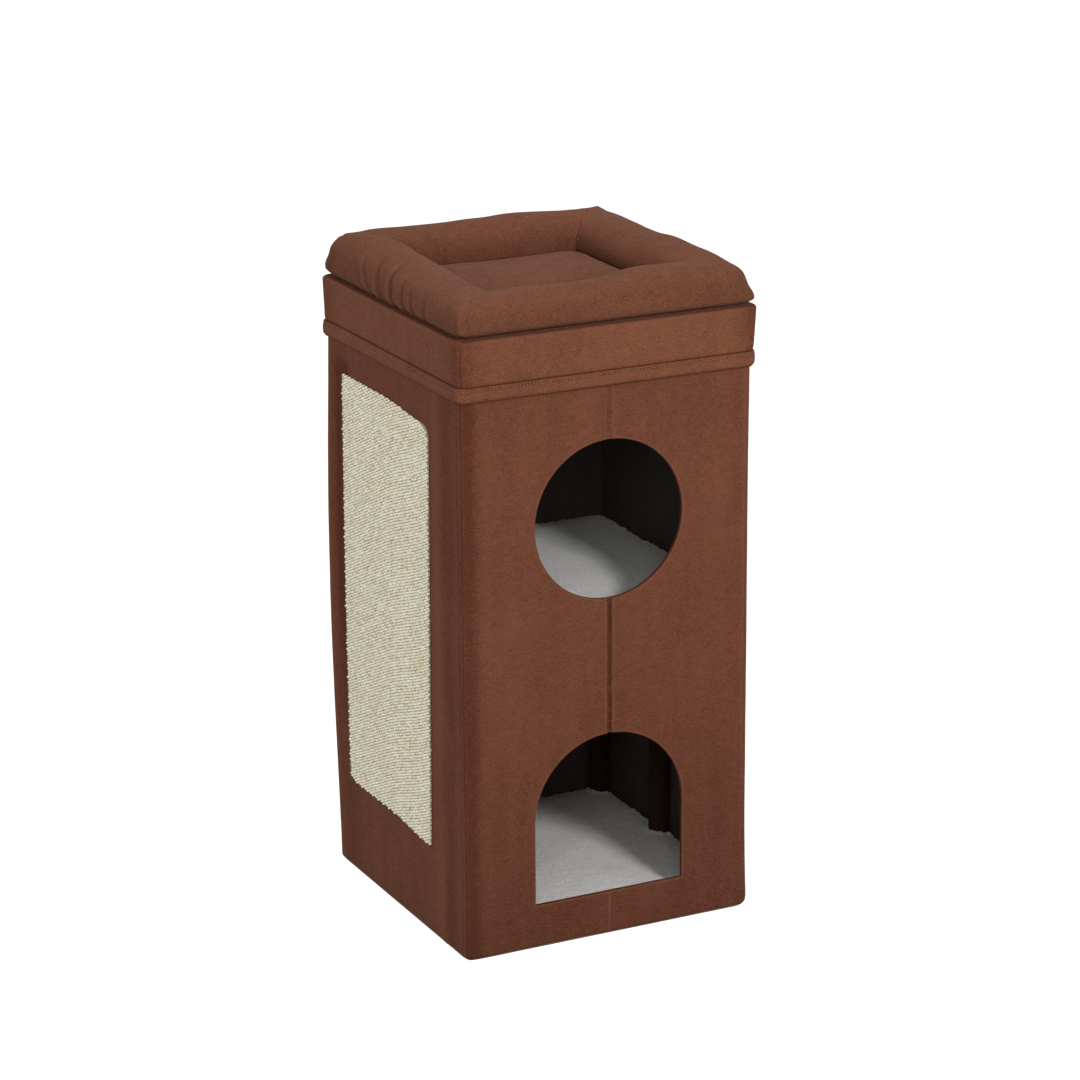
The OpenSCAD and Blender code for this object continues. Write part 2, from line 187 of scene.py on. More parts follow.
# %% [markdown]
# ## The cloth and board finishes
# Suede cloth is matt, with a short nap. Seen close it is a fine even grain with a faint thread across it.
# Further off the tone changes softly, in strokes where a hand has brushed the nap down. Where seams, rims and
# folds
# look paler and grooves, hollows and corners darker, the pieces paint that on themselves as an attribute:
# mostly painted highlights and painted shade, with a little wear.
# A trace of sheen gives the pale bloom at the edges.

# %% Suede


def suede_finish(name, deep, pale):
    made = Finish(name)
    where = made.place()
    brushed = made.clouds(where, 9, 2)
    stroked = made.clouds(made.place((55, 55, 5)), 1, 2)
    mottle = made.clouds(where, 90, 3)
    nap_and_shade = made.clouds(made.place((640, 640, 520)), 1, 3)
    thread = made.clouds(made.place((200, 200, 1000)), 1, 1)
    tone = 0.5 + brushed * 0.35 + stroked * 0.3 + mottle * 0.3 + nap_and_shade * 1.35 + thread * 0.6
    # The painted attribute lightens or darkens the tone here: painted highlights and painted shade from the
    # pieces, with a little wear.
    tone = tone + made.painted("rub_light_and_shade") * 0.9
    made.set(Base_Color=made.between(tone, deep, pale), Roughness=0.95 - nap_and_shade * 0.1)
    made.set(Normal=made.relief(nap_and_shade + thread * 0.5, 0.5, 0.0006))
    made.set(Sheen_Weight=0.03, Sheen_Roughness=0.5, Sheen_Tint=(0.9, 0.6, 0.48, 1))
    made.set(Specular_IOR_Level=0.1)
    return made.material


SUEDE = suede_finish("suede", (0.084, 0.0255, 0.0128), (0.206, 0.0762, 0.0435))
# The lid's copy is a little lighter and the bed's a little darker than the walls': painted light and painted
# shade for how light falls on them.
LIT_LID_SUEDE = suede_finish("lit_lid_suede", (0.094, 0.0290, 0.0145), (0.228, 0.0880, 0.0480))
SHADED_BED_SUEDE = suede_finish("shaded_bed_suede", (0.072, 0.0225, 0.0112), (0.176, 0.0685, 0.0378))
# The sleeves' copy is much darker: painted shade for the posts, which stand in shadow in the lower room.
SHADED_POST_SUEDE = suede_finish("post_suede", (0.012, 0.0058, 0.0030), (0.044, 0.0220, 0.0115))
print("suede finishes", [m.name for m in (SUEDE, LIT_LID_SUEDE, SHADED_BED_SUEDE, SHADED_POST_SUEDE)])

# %% Fleece, lining, sisal, thread, boards and dowels


def fleece_finish():
    made = Finish("fleece")
    where = made.place()
    curls = made.clouds(where, 800, 2)
    tufts = made.clouds(where, 320, 2)
    worn = made.clouds(where, 22, 2)
    tone = 0.5 + curls * 2.4 + tufts * 0.7 + worn * 0.3
    made.set(Base_Color=made.between(tone, (0.62, 0.60, 0.57), (0.99, 0.975, 0.95)))
    made.set(Roughness=0.95, Normal=made.relief(curls + tufts * 0.8, 0.8, 0.0013))
    made.set(Sheen_Weight=0.25, Sheen_Roughness=0.5, Specular_IOR_Level=0.1)
    return made.material


def lining_finish():
    made = Finish("lining")
    threads = made.clouds(made.place((900, 900, 900)), 1, 1)
    worn = made.clouds(made.place(), 30, 2)
    tone = 0.5 + threads * 0.8 + worn * 0.5
    made.set(Base_Color=made.between(tone, (0.032, 0.0240, 0.0205), (0.072, 0.0545, 0.0465)))
    made.set(Roughness=0.85 + threads * 0.2, Normal=made.relief(threads, 0.3, 0.0004))
    return made.material


def sisal_finish():
    made = Finish("sisal")
    where = made.place()
    fibre = made.clouds(made.place((900, 350, 1500), (0.5, 0, 0)), 1, 2)
    patch = made.clouds(where, 24, 2)
    tone = 0.5 + fibre * 0.8 + patch * 0.5 + made.painted("yarn") * 0.55
    straw = made.between(tone, (0.86, 0.80, 0.61), (0.99, 0.97, 0.83))
    golden = made.above(made.clouds(where, 60, 1), 0.14, 0.26)
    straw = made.between(golden * 0.5, straw, (0.78, 0.67, 0.36))
    husk = made.above(made.clouds(where, 210, 1), 0.22, 0.28)
    straw = made.between(husk * 0.8, straw, (0.20, 0.15, 0.07))
    # The mat's body, with the lowest yarn, gets a dark colour: painted shade in the gaps between the loops.
    straw = made.between(made.above(made.painted("yarn"), -1.5, -1.0), (0.46, 0.395, 0.265), straw)
    made.set(Base_Color=straw, Roughness=0.88 + fibre * 0.1)
    made.set(Normal=made.relief(fibre, 0.5, 0.0008), Specular_IOR_Level=0.2)
    return made.material


def thread_finish():
    made = Finish("thread")
    ply = made.clouds(made.place((1800, 1800, 1800)), 1, 1)
    made.set(Base_Color=made.between(0.5 + ply, (0.19, 0.092, 0.050), (0.32, 0.175, 0.105)))
    made.set(Roughness=0.6 + ply * 0.2, Normal=made.relief(ply, 0.3, 0.0003))
    return made.material


def hardboard_finish():
    made = Finish("hardboard")
    chips = made.clouds(made.place(), 260, 4)
    cloud = made.clouds(made.place(), 18, 2)
    made.set(Base_Color=made.between(0.5 + chips + cloud * 0.5, (0.13, 0.075, 0.04), (0.30, 0.19, 0.11)))
    made.set(Roughness=0.75 + chips * 0.2, Normal=made.relief(chips, 0.25, 0.0004))
    return made.material


def dowel_finish():
    made = Finish("dowel")
    grain = made.clouds(made.place((260, 260, 9)), 1, 3)
    cloud = made.clouds(made.place(), 30, 1)
    made.set(Base_Color=made.between(0.5 + grain * 1.1 + cloud * 0.4, (0.42, 0.26, 0.13), (0.66, 0.48, 0.29)))
    made.set(Roughness=0.62 + grain * 0.2, Normal=made.relief(grain, 0.25, 0.0004))
    return made.material


FLEECE = fleece_finish()
LINING = lining_finish()
SISAL = sisal_finish()
THREAD = thread_finish()
HARDBOARD = hardboard_finish()
DOWEL = dowel_finish()
print("finishes", [m.name for m in (FLEECE, LINING, SISAL, THREAD, HARDBOARD, DOWEL)])

# %% [markdown]
# ## The parts that stay as they are
# Boards and dowels are plain cut pieces, so the frame's own solids are right for them. They only get a
# finish: hardboard for every board and pale wood for the six dowels.

# %% Boards and dowels


def wear(obj, material):
    obj.data.materials.clear()
    obj.data.materials.append(material)


dressed = 0
for name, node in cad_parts.items():
    if name.endswith("_board"):
        wear(node, HARDBOARD)
        dressed += 1
    if name.endswith("_post"):
        wear(node, DOWEL)
        dressed += 1
print("boards and dowels dressed", dressed)

# %% [markdown]
# ## Working by hand
# Each operator works on what is selected, so one piece is picked alone before every step. Shaping after
# that is moving points: a piece's points come out as rows of numbers, are moved, and go back.

# %% Tools for whole pieces
MM = 0.001
SAME_POINT = 0.01 * MM
SEAM_GAP = 0.05 * MM


def pick(obj):
    """Select this piece alone."""
    bpy.ops.object.select_all(action="DESELECT")
    obj.select_set(True)
    bpy.context.view_layer.objects.active = obj
    return obj


def named(obj, name):
    obj.name = name
    obj.data.name = name
    return obj


def added(operator, name, **settings):
    """A new piece from an operator that adds a plain shape."""
    bpy.ops.object.select_all(action="DESELECT")
    operator(**settings)
    return named(bpy.context.object, name)


def placed(obj, middle, size=(1, 1, 1), turned=(0, 0, 0)):
    """Size, turn and place a plain shape, and make that its own form."""
    obj.rotation_euler = turned
    obj.scale = size
    obj.location = middle
    pick(obj)
    bpy.ops.object.transform_apply(location=True, rotation=True, scale=True)
    return obj


def applied(obj, kind, **settings):
    """Add a modifier to a piece and apply it."""
    pick(obj)
    modifier = obj.modifiers.new(kind.lower(), kind)
    for key, value in settings.items():
        setattr(modifier, key, value)
    bpy.ops.object.modifier_apply(modifier=modifier.name)
    return obj


def edited(obj, *steps):
    """Run steps, each a mesh operator and its settings, on the whole of a piece."""
    pick(obj)
    bpy.ops.object.mode_set(mode="EDIT")
    for operator, settings in steps:
        bpy.ops.mesh.select_all(action="SELECT")
        operator(**settings)
    bpy.ops.object.mode_set(mode="OBJECT")
    return obj


FACE_OUT = (bpy.ops.mesh.normals_make_consistent, {"inside": False})


def merge(gap):
    """The step that joins points closer than this."""
    return bpy.ops.mesh.remove_doubles, {"threshold": gap}


def loops_at(axis, spots):
    """The steps that cut a loop across a piece at each spot along an axis."""
    way = [int(number == axis) for number in range(3)]
    planes = [{"plane_co": [spot * w for w in way], "plane_no": way} for spot in spots]
    return [(bpy.ops.mesh.bisect, plane) for plane in planes]


def smooth(obj, degrees):
    pick(obj)
    bpy.ops.object.shade_smooth_by_angle(angle=math.radians(degrees))
    return obj


def hand_over(obj, body, slot, material, *nodes):
    """A finished piece: its finish, its body and the nodes that it stands for."""
    wear(obj, material)
    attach(obj, body)
    if nodes:
        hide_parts(*nodes)
    print(obj.name, len(obj.data.polygons), "faces")


print("tools for whole pieces ready")

# %% Tools for points


def points(obj, what="co"):
    found = np.empty(len(obj.data.vertices) * 3)
    obj.data.vertices.foreach_get(what, found)
    return found.reshape(-1, 3)


def move(obj, where):
    obj.data.vertices.foreach_set("co", np.ascontiguousarray(where, float).ravel())
    obj.data.update()
    return obj


def paint(obj, name, values):
    made = obj.data.attributes.new(name, "FLOAT", "POINT")
    made.data.foreach_set("value", np.ascontiguousarray(values, np.float32))


def ripple(where, size, seed):
    """Smooth waves of about this size, from -1 to 1, at each point."""
    shift = Vector((seed, -1.7 * seed, 0.6 * seed))
    return np.array([noise.noise(Vector(p) / size + shift) for p in where])


def waves(where, *kinds):
    """Ripples added up: each has a height and a size in millimetres, and a seed."""
    return sum(high * MM * ripple(where, size * MM, seed) for high, size, seed in kinds)


def soft_step(value, low, high):
    """From 0 at low to 1 at high, with no corner."""
    share = np.clip((value - low) / (high - low), 0, 1)
    return share * share * (3 - 2 * share)


def hump(value, middle, width, power=2):
    """1 at the middle, falling softly to nothing a few widths away."""
    return np.exp(-(((value - middle) / width) ** power))


def places(start, *steps):
    """Places that lie these millimetres beyond a start."""
    return [start + step * MM for step in steps]


def end_dip(distance, reach, depth):
    """How far cloth is pulled in near a seam."""
    return depth * np.clip(1 - distance / reach, 0, 1) ** 2


print("tools for points ready, lengths in units of", MM, "m")

# %% [markdown]
# ## Flat cloth
# A wall's cover starts as a flat cut of cloth: an upright grid, with a few more loops cut in where it will
# be creased or rolled. Solidify gives it its thickness and Booleans cut the openings, all while it is flat.

# %% Sizes of the walls and openings, from the frame
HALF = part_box("right_wall_cover")[1].x
WALL_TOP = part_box("front_wall_cover")[1].z
CORNER = (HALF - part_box("front_wall_cover")[1].x) / (1 - math.sqrt(0.5))
STRAIGHT = HALF - CORNER
COVER_T = 1.2 * MM
BINDING = 1 * MM
TURNED_IN = 0.8 * MM
SIDES = {"front": 0.0, "left": -math.pi / 2, "back": math.pi, "right": math.pi / 2}

round_low, round_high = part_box("round_doorway_binding")
ROUND_R = (round_high.x - round_low.x) / 2 - BINDING
ROUND_Z = (round_high.z + round_low.z) / 2
arch_low, arch_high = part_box("arch_doorway_binding")
ARCH_R = (arch_high.x - arch_low.x) / 2 - BINDING
SILL_Z = arch_low.z + BINDING
SPRING_Z = arch_high.z - BINDING - ARCH_R
DOORWAYS_AREA = math.pi * ROUND_R**2 + math.pi * ARCH_R**2 / 2 + 2 * ARCH_R * (SPRING_Z - SILL_Z)
mat_low, mat_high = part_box("scratch_pad")
print("corner", CORNER, "round doorway", ROUND_R, ROUND_Z, "arch", ARCH_R, SILL_Z, SPRING_Z)

# %% Cutting cloth
UPRIGHT = (math.pi / 2, 0, 0)
CUTTER_DEEP = 60 * MM


def flat_cloth(name, left, right, low, high, cell, thick, upright=(), level=()):
    """An upright cloth that faces -Y, from left to right and low to high."""
    columns = max(2, round((right - left) / cell))
    rows = max(2, round((high - low) / cell))
    grid = bpy.ops.mesh.primitive_grid_add
    cloth = added(grid, name, x_subdivisions=columns, y_subdivisions=rows, size=1)
    placed(cloth, ((left + right) / 2, 0, (low + high) / 2), (right - left, high - low, 1), UPRIGHT)
    edited(cloth, *loops_at(0, upright), *loops_at(2, level))
    return applied(cloth, "SOLIDIFY", thickness=thick, offset=-1, use_rim=True)


def cut_away(cloth, cutter):
    applied(cloth, "BOOLEAN", operation="DIFFERENCE", object=cutter, solver="EXACT")
    bpy.data.objects.remove(cutter, do_unlink=True)


def round_cutter(z, radius):
    cylinder = bpy.ops.mesh.primitive_cylinder_add
    settings = {"vertices": 128, "radius": radius, "depth": CUTTER_DEEP}
    return added(cylinder, "cutter", location=(0, 0, z), rotation=UPRIGHT, **settings)


def cut_doorways(cloth, wider):
    """Cut both doorways out of a flat cloth, wider all round by this much."""
    half = ARCH_R + wider
    cut_away(cloth, round_cutter(ROUND_Z, ROUND_R + wider))
    cut_away(cloth, round_cutter(SPRING_Z, half))
    low, high = SILL_Z - wider, SPRING_Z
    jambs = added(bpy.ops.mesh.primitive_cube_add, "cutter", size=1)
    cut_away(cloth, placed(jambs, (0, 0, (low + high) / 2), (2 * half, CUTTER_DEEP, high - low)))


def cut_area(side, wide, high):
    return wide * high - (DOORWAYS_AREA if side == "front" else 0)


print("doorways take", round(DOORWAYS_AREA, 4), "square metres out of the front")

# %% [markdown]
# ## The suede covers
# Each cover wraps round its own corners: seventy degrees past one edge and twenty past the other, so
# that the sewn seam lies just beside each corner. Where two covers meet, both dip into a narrow valley.
# At the top the cloth rolls over the board and a little way down inside. A tower that is taken down and put
# up again doesn't stand quite true: its left wall bellies out towards the back, and its right foot spreads.

# %% How cloth lies round the tower
WALL_T = 5.5 * MM
BELLY = 8 * MM
BELLY_HIGH = 800 * MM
FOOT_SPREAD = 3.2 * MM
FOOT_HIGH = 130 * MM
WAIST = 0.5 * MM
FOOT_TUCK = 6 * MM
TUCK_HIGH = 10 * MM


def turned_to(side, x, y, z):
    """Turn a piece that was shaped on the front to its own side."""
    cos, sin = math.cos(SIDES[side]), math.sin(SIDES[side])
    return np.column_stack((x * cos - y * sin, x * sin + y * cos, z))


def on_side(side, along, height):
    """Spots to ripple by, so that no two sides are alike."""
    return np.column_stack((along, np.full_like(along, SIDES[side]), height))


def rolled(height):
    """Where cloth lies once it is rolled over the top of a wall: depth, height and facing."""
    past = np.clip(height - WALL_TOP, 0, None)
    facing = math.pi * np.clip(past / WALL_T, 0, 1)
    return past.clip(0, WALL_T), np.minimum(height, WALL_TOP) - np.clip(past - WALL_T, 0, None), facing


def round_tower(side, along, depth, height):
    """Bend cloth round the corners and turn it to its own side."""
    angle = np.sign(along) * np.clip(np.abs(along) - STRAIGHT, 0, None) / CORNER
    radius = CORNER - depth
    x = np.clip(along, -STRAIGHT, STRAIGHT) + radius * np.sin(angle)
    return turned_to(side, x, -STRAIGHT - radius * np.cos(angle), height)


def settled(where):
    """The way the tower has settled: the left wall bellies, the right foot spreads."""
    x, y, z = where.T
    belly = BELLY * np.sin(math.pi * np.clip(z / BELLY_HIGH, 0, 1)) ** 1.3
    belly *= soft_step(y, 144 * MM, 188 * MM) * soft_step(-x, 60 * MM, HALF)
    at_corner = soft_step(x - y, 2 * STRAIGHT - 4 * MM, 2 * HALF - 4 * MM)
    spread = FOOT_SPREAD * np.clip(1 - z / FOOT_HIGH, 0, 1) ** 1.5
    spread -= WAIST * hump(z, 490 * MM, 150 * MM)
    spread -= end_dip(z, TUCK_HIGH, FOOT_TUCK) * at_corner
    spread *= soft_step(x, 110 * MM, HALF) * soft_step(-y, 40 * MM, HALF)
    return np.column_stack((x - belly + spread, y, z))


print("walls are", WALL_T / MM, "mm thick")

# %% The fold line
BOARD_GAP = (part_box("front_right_board")[0].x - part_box("front_left_board")[1].x) / 2
GAP_PLAY = 0.15 * MM
GROOVE = 3.4 * MM
GROOVE_WIDE = 1.9 * MM
DEEPEST_IN_GAP = 3.2 * MM
DEEPEST_ON_BOARD = 0.9 * MM
RIM_HIGH = 0.4 * MM


def crease(along, height, strong):
    """A ragged groove between two raised rims, or a ridge where strong is below 0: its depth, and its painted
    tone, a painted highlight on the rims and the ridge and painted shade in the groove.
    """
    line = np.column_stack((np.zeros_like(height), np.zeros_like(height), height))
    wander = waves(line, (0.7, 12, 3.1), (0.5, 4, 7.7))
    uneven = strong * (0.9 + 0.45 * ripple(line, 8 * MM, 5.3))
    drawn = np.clip(uneven, 0, 1)
    off = along - wander
    deepest = np.where(np.abs(along) < BOARD_GAP - GAP_PLAY, DEEPEST_IN_GAP, DEEPEST_ON_BOARD)
    groove = np.minimum(GROOVE * uneven * hump(off, 0, GROOVE_WIDE), deepest)
    rims = drawn * (hump(off, -4.4 * MM, 1.0 * MM) + 0.6 * hump(off, 5.2 * MM, 1.4 * MM))
    # The groove is painted darker here, painted shade; the rims and the ridge below the arch are painted
    # paler, painted highlight.
    groove_shade = 0.7 * hump(off, 0, 3.3 * MM, 4) + 0.8 * hump(off, 2.6 * MM, 0.9 * MM)
    groove_shade += 0.5 * hump(off, -2.6 * MM, 0.8 * MM)
    ridge_highlight = np.clip(-9 * uneven, 0, 1.4) * hump(off, 0, 1.3 * MM)
    return groove - RIM_HIGH * rims, rims - 1.3 * drawn * groove_shade + ridge_highlight


def fold_front(height):
    """How strongly the front fold is drawn in at each height: it is a ridge below the arch."""
    between = (height > SPRING_Z) & (height < ROUND_Z)
    return np.where(height < SILL_Z, -0.14, np.where(between, 1.0, 0.35))


def fold_back(height):
    return np.full_like(height, 0.75)


FOLDS = {"front": fold_front, "back": fold_back}
print("gap between the boards", round(2 * BOARD_GAP / MM, 2), "mm")

# %% Swellings and nap of the walls


def doorway_gap(along, height):
    """How far each spot is from the edge of the nearer doorway."""
    from_round = np.abs(np.hypot(along, height - ROUND_Z) - ROUND_R)
    from_arch = np.abs(np.hypot(along, np.maximum(height - SPRING_Z, 0)) - ARCH_R)
    from_sill = np.hypot(np.maximum(np.abs(along) - ARCH_R, 0), height - SILL_Z)
    return np.minimum(from_round, np.minimum(from_arch, from_sill))


def beside_mat(along, height):
    """On the left wall the cover swells along the mat's edges and sinks in again beyond them."""
    tall = soft_step(height, mat_low.z - 4 * MM, mat_low.z + 12 * MM)
    tall *= 1 - soft_step(height, mat_high.z - 10 * MM, mat_high.z + 6 * MM)
    behind = 0.7 * hump(along, -mat_high.y - 12 * MM, 5 * MM) - 2.2 * hump(along, -mat_high.y, 5 * MM)
    before = 0.6 * hump(along, 150 * MM, 8 * MM) - 1.2 * hump(along, 128 * MM, 9 * MM)
    return MM * (tall * behind + before)


def left_wall_light_and_shade(along, height):
    """Painted light and shade on the left wall: a painted shadow behind the mat, a painted highlight towards
    the back corner, painted shade in streaks before the mat and by the front corner, and a little darker all
    over.
    """
    tall = soft_step(height, mat_low.z + 20 * MM, mat_low.z + 330 * MM)
    tall *= 1 - soft_step(height, mat_high.z, mat_high.z + 25 * MM)
    from_mat = -along - mat_high.y
    # A painted shadow along the mat's back edge, where the pad stands off the wall.
    shadow_behind_mat = (0.15 + 0.85 * tall) * soft_step(from_mat, -25 * MM, -5 * MM)
    nap_and_shade = 0.45 * soft_step(from_mat, 28 * MM, 44 * MM) - 0.1
    nap_and_shade -= shadow_behind_mat * hump(np.maximum(from_mat, 6 * MM), 6 * MM, 13 * MM)
    nap_and_shade += 0.12 * hump(along, 119 * MM, 13 * MM, 4) - 0.22 * hump(along, 152 * MM, 16 * MM, 4)
    return nap_and_shade - 0.3 * hump(along, 182 * MM, 4 * MM)


def front_wall_shade(along, height):
    """Painted shade on the front wall: darker round the left corner, down towards the foot and near the lid.
    """
    corner = hump(np.maximum(along, -STRAIGHT), -STRAIGHT, 9 * MM)
    low = 1 - soft_step(height, 40 * MM, 420 * MM)
    return -0.5 * corner - 0.22 * low - 0.1 * soft_step(height, 450 * MM, 700 * MM)


print("mat from", tuple(round(c, 3) for c in mat_low), "to", tuple(round(c, 3) for c in mat_high))

# %% The four covers
LONG_WRAP = math.radians(70)
SHORT_WRAP = math.radians(20)
FLAP = 9 * MM
FLAP_IN = 0.9 * MM
ROLL_PLAY = 0.25 * MM
COVER_LEFT = -STRAIGHT - CORNER * LONG_WRAP
COVER_RIGHT = STRAIGHT + CORNER * SHORT_WRAP
COVER_LOW = 0.2 * MM
COVER_HIGH = WALL_TOP + WALL_T + FLAP
COVER_CELL = 6 * MM
CREASE_STEPS = (0.4, 0.9, 1.4, 1.9, 2.6, 3.3, 4.2, 5.2, 6.5, 8.5)
CREASE_CUTS = [way * step * MM for step in CREASE_STEPS for way in (-1, 1)]
MAT_CUTS = places(-mat_high.y, 3, 0, -3, -9, -15)
SIDE_CUTS = {"front": CREASE_CUTS, "back": CREASE_CUTS, "left": MAT_CUTS, "right": []}
END_CUTS = places(COVER_LEFT, 0.8, 1.6, 2.5, 3.4, 6, 9, 12)
END_CUTS += places(COVER_RIGHT, -0.8, -1.6, -2.5, -3.4)
ROLL_CUTS = places(WALL_TOP, -3, -1.2, -0.4, 0.4, 1.2, 2.8, 4.2, 5.0, 6.0, 8)
FOOT_CUTS = places(COVER_LOW, 0.7, 1.5, 2.5, 3.6, 5)


def shape_cover(cloth, side):
    along, back, height = points(cloth).T
    seen = on_side(side, along, height)
    end = np.minimum(along - along.min(), along.max() - along)
    dip = end_dip(end, 3.2 * MM, 0.9 * MM) + end_dip(height, 5 * MM, 2.4 * MM)
    slack = waves(seen, (0.35, 110, 0.0), (0.12, 30, 2.0))
    # A paler line along each seam edge: painted highlight.
    rub_light_and_shade = 0.22 * hump(end, 3 * MM, 1.5 * MM)
    if side == "front":
        slack *= soft_step(doorway_gap(along, height), 1 * MM, 14 * MM)
        rub_light_and_shade += front_wall_shade(along, height)
    if side == "left":
        dip += beside_mat(along, height)
        rub_light_and_shade += left_wall_light_and_shade(along, height)
    if side in FOLDS:
        groove, rims = crease(along, height, FOLDS[side](height))
        dip += groove
        # The crease paints a highlight on its rims and shade in its groove.
        rub_light_and_shade += 0.4 * rims
    over, top, facing = rolled(height)
    depth = over + (dip - slack) * np.clip(np.cos(facing), 0, 1) + back * np.cos(facing)
    depth += FLAP_IN * np.clip(-np.cos(facing), 0, 1)
    rolled_high = top + (ROLL_PLAY - back) * np.sin(facing)
    move(cloth, settled(round_tower(side, along, depth, rolled_high)))
    paint(cloth, "rub_light_and_shade", rub_light_and_shade)
    smooth(cloth, 50)


def cover(side):
    flat = (COVER_RIGHT - COVER_LEFT, COVER_HIGH - COVER_LOW)
    cloth = flat_cloth(
        side + "_suede", COVER_LEFT, COVER_RIGHT, COVER_LOW, COVER_HIGH, COVER_CELL, COVER_T,
        END_CUTS + SIDE_CUTS[side], ROLL_CUTS + FOOT_CUTS,
    )
    if side == "front":
        cut_doorways(cloth, TURNED_IN)
    shape_cover(cloth, side)
    hand_over(cloth, "tower", "suede", SUEDE, side + "_wall_cover")
    cut_area(side, *flat)


for side in SIDES:
    cover(side)

# %% [markdown]
# ## The turned edges of the openings
# Round each doorway the suede is turned in over the board's edge, level with the wall and with hardly a bead.
# A curve along the doorway with the turned edge's section as its bevel sweeps it in one go. Where the fold
# line meets a doorway, the edge is notched with it.

# %% Sweeping a turned edge
LIP_SECTION = [
    (1.7, -1.5), (1.25, -0.25), (0.8, 0.1), (0.0, 0.2), (-1.1, 0.12), (-1.75, -0.25), (-2.0, -0.9),
    (-2.0, -1.8), (-2.0, -3.6), (-1.95, -5.2), (-1.5, -5.8), (0.0, -6.0), (2.2, -5.9), (2.4, -5.4),
    (1.6, -4.8), (1.7, -3.0),
]


def line_curve(name, spots, fill="NONE"):
    """A closed flat line through these spots."""
    data = bpy.data.curves.new(name, "CURVE")
    data.dimensions = "2D"
    data.fill_mode = fill
    spline = data.splines.new("POLY")
    spline.points.add(len(spots) - 1)
    for point, (x, y) in zip(spline.points, spots):
        point.co = (x, y, 0, 1)
    spline.use_cyclic_u = True
    made = bpy.data.objects.new(name, data)
    scene.collection.objects.link(made)
    return made


def meshed(curve):
    pick(curve)
    bpy.ops.object.convert(target="MESH")
    return bpy.context.object


def swept_lip(name, outline):
    """Sweep the section, given as outward and forward millimetres, along an outline in the wall's plane."""
    path = line_curve(name, outline)
    profile = line_curve(name + "_section", [(-x * MM, y * MM) for x, y in LIP_SECTION])
    path.data.bevel_mode = "OBJECT"
    path.data.bevel_object = profile
    lip = meshed(path)
    bpy.data.objects.remove(profile, do_unlink=True)
    return edited(lip, merge(SAME_POINT), FACE_OUT)


def stand_lip(lip):
    """Stand a swept edge up in the front wall: its own Z is how far it comes forward."""
    along, height, forward = points(lip).T
    groove, rims = crease(along, height, fold_front(height))
    notched = forward - groove * soft_step(forward, -4.5 * MM, -1.5 * MM)
    move(lip, settled(np.column_stack((along, -HALF - notched, height))))
    # The turned edge is painted a little paler, a painted highlight, and takes the front wall's painted shade
    # and the groove's painted shade.
    rub_light_and_shade = 0.12 + 0.6 * front_wall_shade(along, height) + 0.5 * np.minimum(rims, 0)
    # Inside the reveal the edge is painted much darker: painted shade.
    paint(lip, "rub_light_and_shade", rub_light_and_shade - 1.0 * (1 - soft_step(forward, -1.4 * MM, -0.5 * MM)))
    return smooth(lip, 60)


print("lip section of", len(LIP_SECTION), "points")

# %% The two doorways


def arc(x, y, radius, start, stop, steps):
    angles = np.radians(np.linspace(start, stop, steps))
    return [(x + radius * math.cos(a), y + radius * math.sin(a)) for a in angles]


NEAR_FOLD = [0.3, 0.9, 1.6, 2.4, 3.4, 15, 30, 50, 70, 90]
SILL_STEPS = [-step for step in reversed(NEAR_FOLD)] + NEAR_FOLD
JAMB_SHARES = (0.2, 0.4, 0.6, 0.8)
round_line = arc(0, ROUND_Z, ROUND_R, 0, 360, 257)[:-1]
arch_line = arc(0, SPRING_Z, ARCH_R, 0, 180, 129)
arch_line += [(-ARCH_R, SPRING_Z + (SILL_Z - SPRING_Z) * share) for share in JAMB_SHARES]
arch_line += [(-ARCH_R, SILL_Z)]
arch_line += [(step * MM, SILL_Z) for step in SILL_STEPS]
arch_line += [(ARCH_R, SILL_Z)]
arch_line += [(ARCH_R, SILL_Z + (SPRING_Z - SILL_Z) * share) for share in JAMB_SHARES]
for opening, outline in (("round_doorway", round_line), ("arch_doorway", arch_line)):
    lip = stand_lip(swept_lip(opening + "_lip", outline))
    hand_over(lip, "tower", "suede", SUEDE, opening + "_binding")

# %% [markdown]
# ## The lining
# Inside, each wall is lined with a thin dark cloth, slack enough to ripple a little. The front one has the
# same two doorways as the suede.

# %% The four linings
LINING_T = 0.7 * MM
LINING_CELL = 14 * MM
LINING_SLACK = 0.5 * MM
LINING_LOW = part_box("front_wall_lining")[0].z
LINING_HIGH = WALL_TOP - 1.5 * MM


def lining(side):
    """A lining is cut along its wall and hung slack on the wall's inner face."""
    low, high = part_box(side + "_wall_lining")
    run, across = (0, 1) if side in ("front", "back") else (1, 0)
    flat = (high[run] - low[run], LINING_HIGH - LINING_LOW)
    cloth = flat_cloth(
        side + "_lining", low[run], high[run], LINING_LOW, LINING_HIGH, LINING_CELL, LINING_T
    )
    if side == "front":
        cut_doorways(cloth, BINDING)
    along, back, height = points(cloth).T
    slack = LINING_SLACK * (ripple(on_side(side, along, height), 60 * MM, 4.0) + 0.4)
    where = points(cloth)
    where[:, run] = along
    if side in ("front", "left"):
        where[:, across] = low[across] + back + slack
    else:
        where[:, across] = high[across] - LINING_T + back - slack
    smooth(move(cloth, where), 50)
    hand_over(cloth, "tower", "lining", LINING, side + "_wall_lining")
    cut_area(side, *flat)


for side in SIDES:
    lining(side)

# %% [markdown]
# ## The woven scratching pad
# The pad is a thick mat of coarse sisal, sewn to the left wall. Its face is a twill: ridges that rise towards
# the front, each a row of fat loops, with the joints of one ridge beside the loops of the next. One loop is
# modelled as a stretched bead and set out by two arrays. Each loop is nudged and given a tone of its own,
# painted on as an attribute called yarn, and the field is turned to the slope of the ridges. Then the loops
# outside the mat's outline are deleted. The body between the loops has the lowest value of yarn, which
# gives it a dark colour: painted shade in the gaps between the loops.

